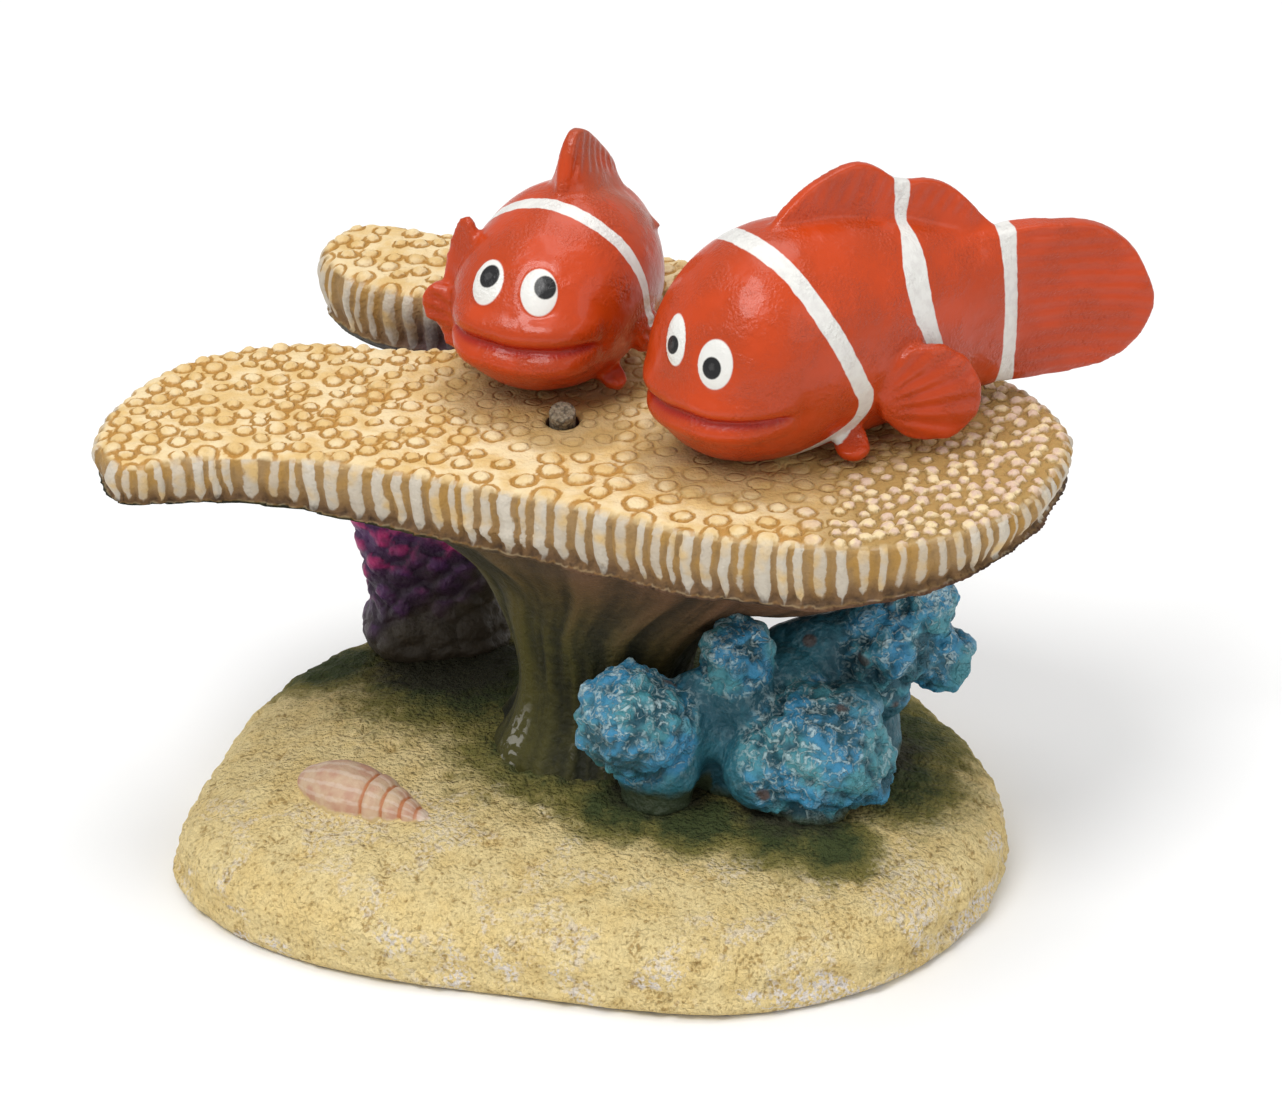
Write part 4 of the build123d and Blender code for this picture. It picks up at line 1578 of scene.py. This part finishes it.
def small_fish() -> Clownfish:
    """The smaller fish, at the middle of the table."""
    head = (13.0, 79.2)
    return Clownfish(
        name="small_clownfish_casting",
        nodes=("small_clownfish",),
        slot="fish_paint",
        spine=Spine((-12.5, 7.5), 44, 66, 56),
        sections=(
            (0.3, 76.4, 0, 0), (0.8, 76.6, 4.0, 5.4), (3.2, 77.2, 7.4, 9.4), (8, 78.4, 10.9, 12.4),
            (15, 79.5, 13.5, 13.9), (22, 80.2, 13.9, 13.6), (29, 80.2, 11.8, 11.1),
            (35, 80, 8.6, 5.6), (37.5, 80, 5, 1.4),
        ),
        dorsal=(
            (17.0, 93), (18.6, 97), (20.2, 100.4), (22.4, 102.3), (24, 102), (26.4, 100.2),
            (29, 97.6), (31.5, 94.8), (34, 91),
        ),
        dorsal_base=86,
        dorsal_root=8.5,
        ray_pitch=1.9,
        tail=(
            (30, 76, 82), (33, 74, 82.6), (37, 73, 82.8), (41, 73.4, 81.6), (43.2, 76, 80),
            (44, 77.6, 79),
        ),
        fans=(
            ((9.2, -12.4, 71.2), (13.2, -12.2, 90.0), (0.30, -1.0, 0.25), 3.3, 0.3, 0.32),
            ((9.8, -11.0, 76.0), (8.6, -17.4, 78.4), (0.2, 0.2, 1.0), 3.0, 0.0, 0.6),
            ((15.5, 12.0, 77.0), (21.0, 14.2, 75.0), (0.25, -0.25, 1.0), 4.0, -0.6, 0.5),
            ((14.5, 8.0, 71.5), (12.6, 12.8, 68.2), (1.0, 0.5, 0.1), 2.0, 0.3, 0.6),
        ),
        mouth=Mouth(13, 6, 60, 77.2, -0.3, -0.3, 1.25, 1.15, 0.8),
        bands=(
            Band((
                (78, 18.6, 0.8), (83, 17.9, 0.95), (88, 16.8, 1.05), (91, 15.9, 1.1),
                (97, 15.3, 1.1),
            )),
        ),
        eyes=(
            Eye((4.4, 3.6, 84.7), (2.65, 3.45), (-0.9, 0.65), 1.55, head),
            Eye((4.5, -4.3, 84.7), (2.55, 3.4), (-0.35, 0.75), 1.55, head, 24),
        ),
        dulled=0.7,
    )


@dataclass
class BlueCoral(Piece):
    """The blue coral: knobbly heads joined by a smoother web."""

    name: str = "blue_coral_casting"
    nodes: tuple[str, ...] = (
        "blue_coral_left", "blue_coral_middle", "blue_coral_front", "blue_coral_right",
    )
    slot: str = "blue_coral"
    voxel: float = 0.48
    knob: float = 1.6
    # x, y, z and reach of the knobbly heads
    heads: tuple = (
        (6, -14, 28, 8.6), (20.5, -9, 36.5, 5.5), (32, -14, 23, 10.5), (38, -13, 21, 8),
        (43, -1, 33, 7.5), (50, 2, 30, 6.5), (47, 1, 39, 7),
    )
    # middle and half size of each lump of the web, in millimetres
    web: tuple = (
        ((9.5, -12, 19.5), (6, 5, 4.5)), ((15, -9, 25.5), (7, 4.6, 8.5)),
        ((20, -7, 20), (9, 5.5, 7)), ((27, -5, 26), (9, 5.5, 9)),
        ((33, 0, 31), (9, 5, 7.5)), ((39, -1, 31), (6, 4, 8)),
    )

    def web_lump(self, middle: Sequence[float], half: Sequence[float]) -> bpy.types.Object:
        """One lump of the web, shaped from a ball."""
        obj = ball("web_lump", 24, 16)
        put(obj, corners(obj) * np.array(half, float) + np.array(middle, float))
        return obj

    def build(self) -> None:
        """Makes and dresses the coral."""
        parts = [casting_copy(node, f"{node}_copy") for node in self.nodes]
        parts += [self.web_lump(*lump) for lump in self.web]
        obj = join(parts, self.name)
        remesh(obj, self.voxel, 14)
        p, n = places(obj), outward(obj)
        _, gap = Nearest(strewn(p, 31, 9000, (1.5, 3.0))).find(p)
        lumpy = np.zeros(len(p))
        for x, y, z, reach in self.heads:
            away = np.linalg.norm(p - np.array((x, y, z)), axis=1)
            lumpy = np.maximum(lumpy, ease(away, reach + 2, reach - 1))
        knob = cap(gap / self.knob)
        fine = Noise(32).at(p, 1.4, 2)
        rough = 0.85 * knob - 0.35 + 0.75 * fine + 1.1 * Noise(34).at(p, 3.2, 2)
        height = (0.22 + 0.78 * lumpy) * rough + 0.6 * Noise(33).at(p, 6)
        height *= ease(p[:, 2], SAND_TOP - 1, SAND_TOP + 2)
        put(obj, p + n * height[:, None])
        note(obj, "crest", np.clip(0.25 + height * 0.5, 0, 1.2))
        note(obj, "lumpy", lumpy)
        # faces turned up and to the left front, towards the key light, for the painted light on the
        # white frost
        note(obj, "lit", np.clip(0.40 * n[:, 2] + 0.15 - 0.1 * n[:, 0] - 0.1 * n[:, 1], -0.2, 0.6))
        # the foot's dark olive is painted shade, merging into the moss
        low = np.where(p[:, 0] < 17, 18.5, 16.0)
        note(obj, "foot", ease(p[:, 2] - low, 3.0, -2.5))
        self.dress(obj, BlueCoralPaint().build())


@dataclass
class PurpleCoral(Piece):
    """The purple coral: overlapping plates with raised edges."""

    name: str = "purple_coral_casting"
    nodes: tuple[str, ...] = ("purple_coral",)
    slot: str = "purple_coral"
    voxel: float = 0.5
    plate: float = 3.0

    def build(self) -> None:
        """Makes and dresses the coral."""
        obj = casting_copy(self.nodes[0], self.name)
        remesh(obj, self.voxel, 8)
        p, n = places(obj), outward(obj)
        plates = strewn(p, 51, 6000, (2.8, 5.0))
        index, gap = Nearest(plates).find(p)
        dome = cap(gap / self.plate)
        shingle = np.clip((p[:, 2] - plates[index, 2]) / 5 + 0.5, 0, 1)
        fine = Noise(52).at(p, 1.6, 2)
        height = 1.1 * dome * (0.5 + shingle) - 0.7 + 0.45 * fine + 0.9 * Noise(53).at(p, 6, 2)
        height *= ease(p[:, 2], SAND_TOP - 1, SAND_TOP + 2)
        foot = ease(p[:, 2], SAND_TOP + 8, SAND_TOP + 1)
        height += 2.2 * foot
        put(obj, p + n * height[:, None])
        lean = (p[:, 2] - SAND_TOP) / 30 - 0.02 * (p[:, 0] + 25)
        note(obj, "rise", np.clip(lean, 0, 1.3))
        note(obj, "ridge", np.clip(0.9 * dome * shingle + 0.3 * fine, 0, 1))
        self.dress(obj, PurpleCoralPaint().build())


@dataclass
class SpiralShell(Piece):
    """A spindle shell with whorls, half sunk in the sand."""

    name: str = "spiral_shell_casting"
    nodes: tuple[str, ...] = ("spiral_shell",)
    slot: str = "shell_paint"
    start: tuple[float, float, float] = (-43.0, -4.2, 13.6)
    end: tuple[float, float, float] = (-22.2, -17.6, 13.0)
    radius: float = 5.3
    profile: tuple = (
        (0, 0.05, 0.16, 0.32, 0.52, 0.64, 0.76, 0.87, 0.95, 1),
        (0, 0.36, 0.74, 1, 0.94, 0.76, 0.56, 0.36, 0.2, 0),
    )
    whorls: tuple = (0.0, 0.56, 0.68, 0.79, 0.88, 0.95, 1.0)

    def build(self) -> None:
        """Makes and dresses the shell."""
        obj = ball(self.name, 72, 130)
        unit = corners(obj)
        share = (unit[:, 0] + 1) / 2
        start, end = np.array(self.start), np.array(self.end)
        length = np.linalg.norm(end - start)
        along = (end - start) / length
        level = np.cross((0, 0, 1.0), along)
        level /= np.linalg.norm(level)
        up = np.cross(along, level)
        turn = np.arctan2(unit[:, 2], unit[:, 1])
        around = np.hypot(unit[:, 1], unit[:, 2])
        wound = np.clip(share + 0.03 * np.sin(turn + 0.6), 0, 1)
        edges = np.array(self.whorls)
        which = np.clip(np.searchsorted(edges, wound) - 1, 0, len(edges) - 2)
        local = (wound - edges[which]) / (edges[which + 1] - edges[which])
        to_edge = np.min(np.abs(wound[:, None] - edges[None, 1:-1]), axis=1)
        suture = bell(to_edge, 0.014)
        folds = np.cos(turn * 9 + 5 * share)
        radius = self.radius * smooth_line(*self.profile, share)
        bulge = 1 + 0.09 * np.sin(np.pi * local) * (which > 0) - 0.09 * suture + 0.012 * folds
        ring = radius * bulge
        spin = np.where(around > 1e-5, turn, 0.0)
        own = share[:, None] * length * along + start
        own = own + (ring * np.cos(spin))[:, None] * level
        own = own + (0.9 * ring * np.sin(spin))[:, None] * up
        own = own + (0.12 * Noise(71).at(own, 1.6, 2) * (radius > 1))[:, None] * up
        put(obj, own)
        shade(obj)
        note(obj, "suture", suture)
        note(obj, "along", share)
        note(obj, "lines", 0.5 + 0.5 * np.cos(turn * 15 + 9 * share))
        note(obj, "sunk", ease(own[:, 2], 15.2, 13.2))
        self.dress(obj, ShellPaint().build())


@dataclass
class AirStone(Piece):
    """The push-in air stone: a rounded plug of fused grit."""

    name: str = "air_stone_plug"
    nodes: tuple[str, ...] = ("diffuser_stone",)
    slot: str = "air_stone"
    body: Body = Body.DIFFUSER
    tilt: float = 28.0
    radius: float = 1.95
    length: float = 8.0
    rounding: float = 0.55
    voxel: float = 0.16

    def build(self) -> None:
        """Makes and dresses the stone."""
        add = bpy.ops.mesh.primitive_cylinder_add
        size = {"radius": self.radius * MM, "depth": self.length * MM}
        obj = primitive(self.name, add, vertices=40, **size)
        edit(bpy.ops.mesh.bevel, offset=self.rounding * MM, segments=3, affect="EDGES")
        remesh(obj, self.voxel, 2)
        own, n = corners(obj) / MM, outward(obj)
        own = own + n * (0.10 * Noise(61).at(own, 0.7, 2) - 0.05)[:, None]
        tilt = math.radians(self.tilt)
        axis = np.array((0, -math.sin(tilt), math.cos(tilt)))
        front = np.array((0, -math.cos(tilt), -math.sin(tilt)))
        low, high = (np.array(corner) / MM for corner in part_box(self.nodes[0]))
        centre = (low + high) / 2 - MOULD_CENTRE
        frame_axes = np.stack([np.cross(front, axis), front, axis])
        put(obj, own @ frame_axes + centre)
        self.dress(obj, StonePaint().build())


@dataclass
class AirLine:
    """The hidden air line and the locating rods: CAD nodes that keep their shape."""

    finishes: dict[str, object] = field(default_factory=lambda: {
        "riser_tube": TubePlastic(),
        "inlet_nipple": TubePlastic(),
        "diffuser_stem": TubePlastic(),
        "air_hose": TubePlastic(
            "soft_hose_silicone", (0.62, 0.66, 0.64), (0.5, 0.54, 0.52), 0.4, 0.25
        ),
        "inlet_seal": SealRubber(),
        "large_fish_pins": DrawnRod(),
        "small_fish_pins": DrawnRod(),
    })

    def build(self) -> None:
        """Gives each node its material."""
        made: dict[object, bpy.types.Material] = {}
        for node, finish in self.finishes.items():
            if finish not in made:
                made[finish] = finish.build()
            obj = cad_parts[node]
            obj.data.materials.clear()
            obj.data.materials.append(made[finish])
            LOG.info("%s keeps its CAD shape", node)


# ---------------------------------------------------------------- the studio


@dataclass
class Studio:
    """The pale floor, the soft lights and the camera."""

    elevation: float = 28.0
    distance: float = 0.700
    aim: tuple[float, float, float] = (7.0, 0.0, 48.0)
    lens: float = 137.2
    # name, place and size in metres, power in watts
    lights: tuple = (
        ("key", (-0.45, -0.55, 1.15), 0.6, 8.4),
        ("fill", (0.95, -0.75, 0.65), 0.9, 2.6),
        ("top", (0.05, 0.25, 1.25), 0.9, 5.5),
    )
    sky: float = 0.52

    def floor(self) -> None:
        """The paper that the ornament stands on."""
        add = bpy.ops.mesh.primitive_plane_add
        obj = primitive("studio_floor", add, size=6, location=(0, 0, -0.0002))
        obj.data.materials.append(StudioPaper().build())
        obj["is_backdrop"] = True

    def light(self) -> None:
        """Soft boxes around the ornament, and a pale sky."""
        target = Vector(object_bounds()[0]) * 0.5 + Vector(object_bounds()[1]) * 0.5
        for name, place, size, power in self.lights:
            lamp = bpy.data.lights.new(name, "AREA")
            lamp.shape, lamp.size, lamp.energy = "DISK", size, power
            obj = bpy.data.objects.new(name, lamp)
            obj.location = place
            obj.rotation_euler = (target - Vector(place)).to_track_quat("-Z", "Y").to_euler()
            bpy.context.scene.collection.objects.link(obj)
        world = bpy.data.worlds.new("studio_sky")
        world.use_nodes = True
        back = world.node_tree.nodes["Background"]
        back.inputs["Color"].default_value = (1.0, 1.0, 1.0, 1.0)
        back.inputs["Strength"].default_value = self.sky
        bpy.context.scene.world = world

    def camera(self) -> None:
        """The camera, looking down a little at the ornament's front."""
        tilt = math.radians(self.elevation)
        data = bpy.data.cameras.new("camera")
        data.sensor_width, data.lens, data.clip_start = 36.0, self.lens, 0.01
        obj = bpy.data.objects.new("camera", data)
        aim = Vector((np.array(self.aim) + MOULD_CENTRE) * MM)
        obj.location = aim + Vector((0, -math.cos(tilt), math.sin(tilt))) * self.distance
        obj.rotation_euler = (math.pi / 2 - tilt, 0, 0)
        bpy.context.scene.collection.objects.link(obj)
        bpy.context.scene.camera = obj
        bpy.context.scene.view_settings.view_transform = "Standard"

    def build(self) -> None:
        """Sets the whole studio."""
        self.floor()
        self.light()
        self.camera()


def main() -> None:
    """Builds the studio and the ornament piece by piece."""
    logging.basicConfig(level=logging.INFO, format="%(message)s")
    Studio().build()
    for piece in (
        SandMound(), TableCoral(), large_fish(), small_fish(), BlueCoral(), PurpleCoral(),
        SpiralShell(), AirStone(), AirLine(),
    ):
        piece.build()


if __name__ == "__main__":
    main()
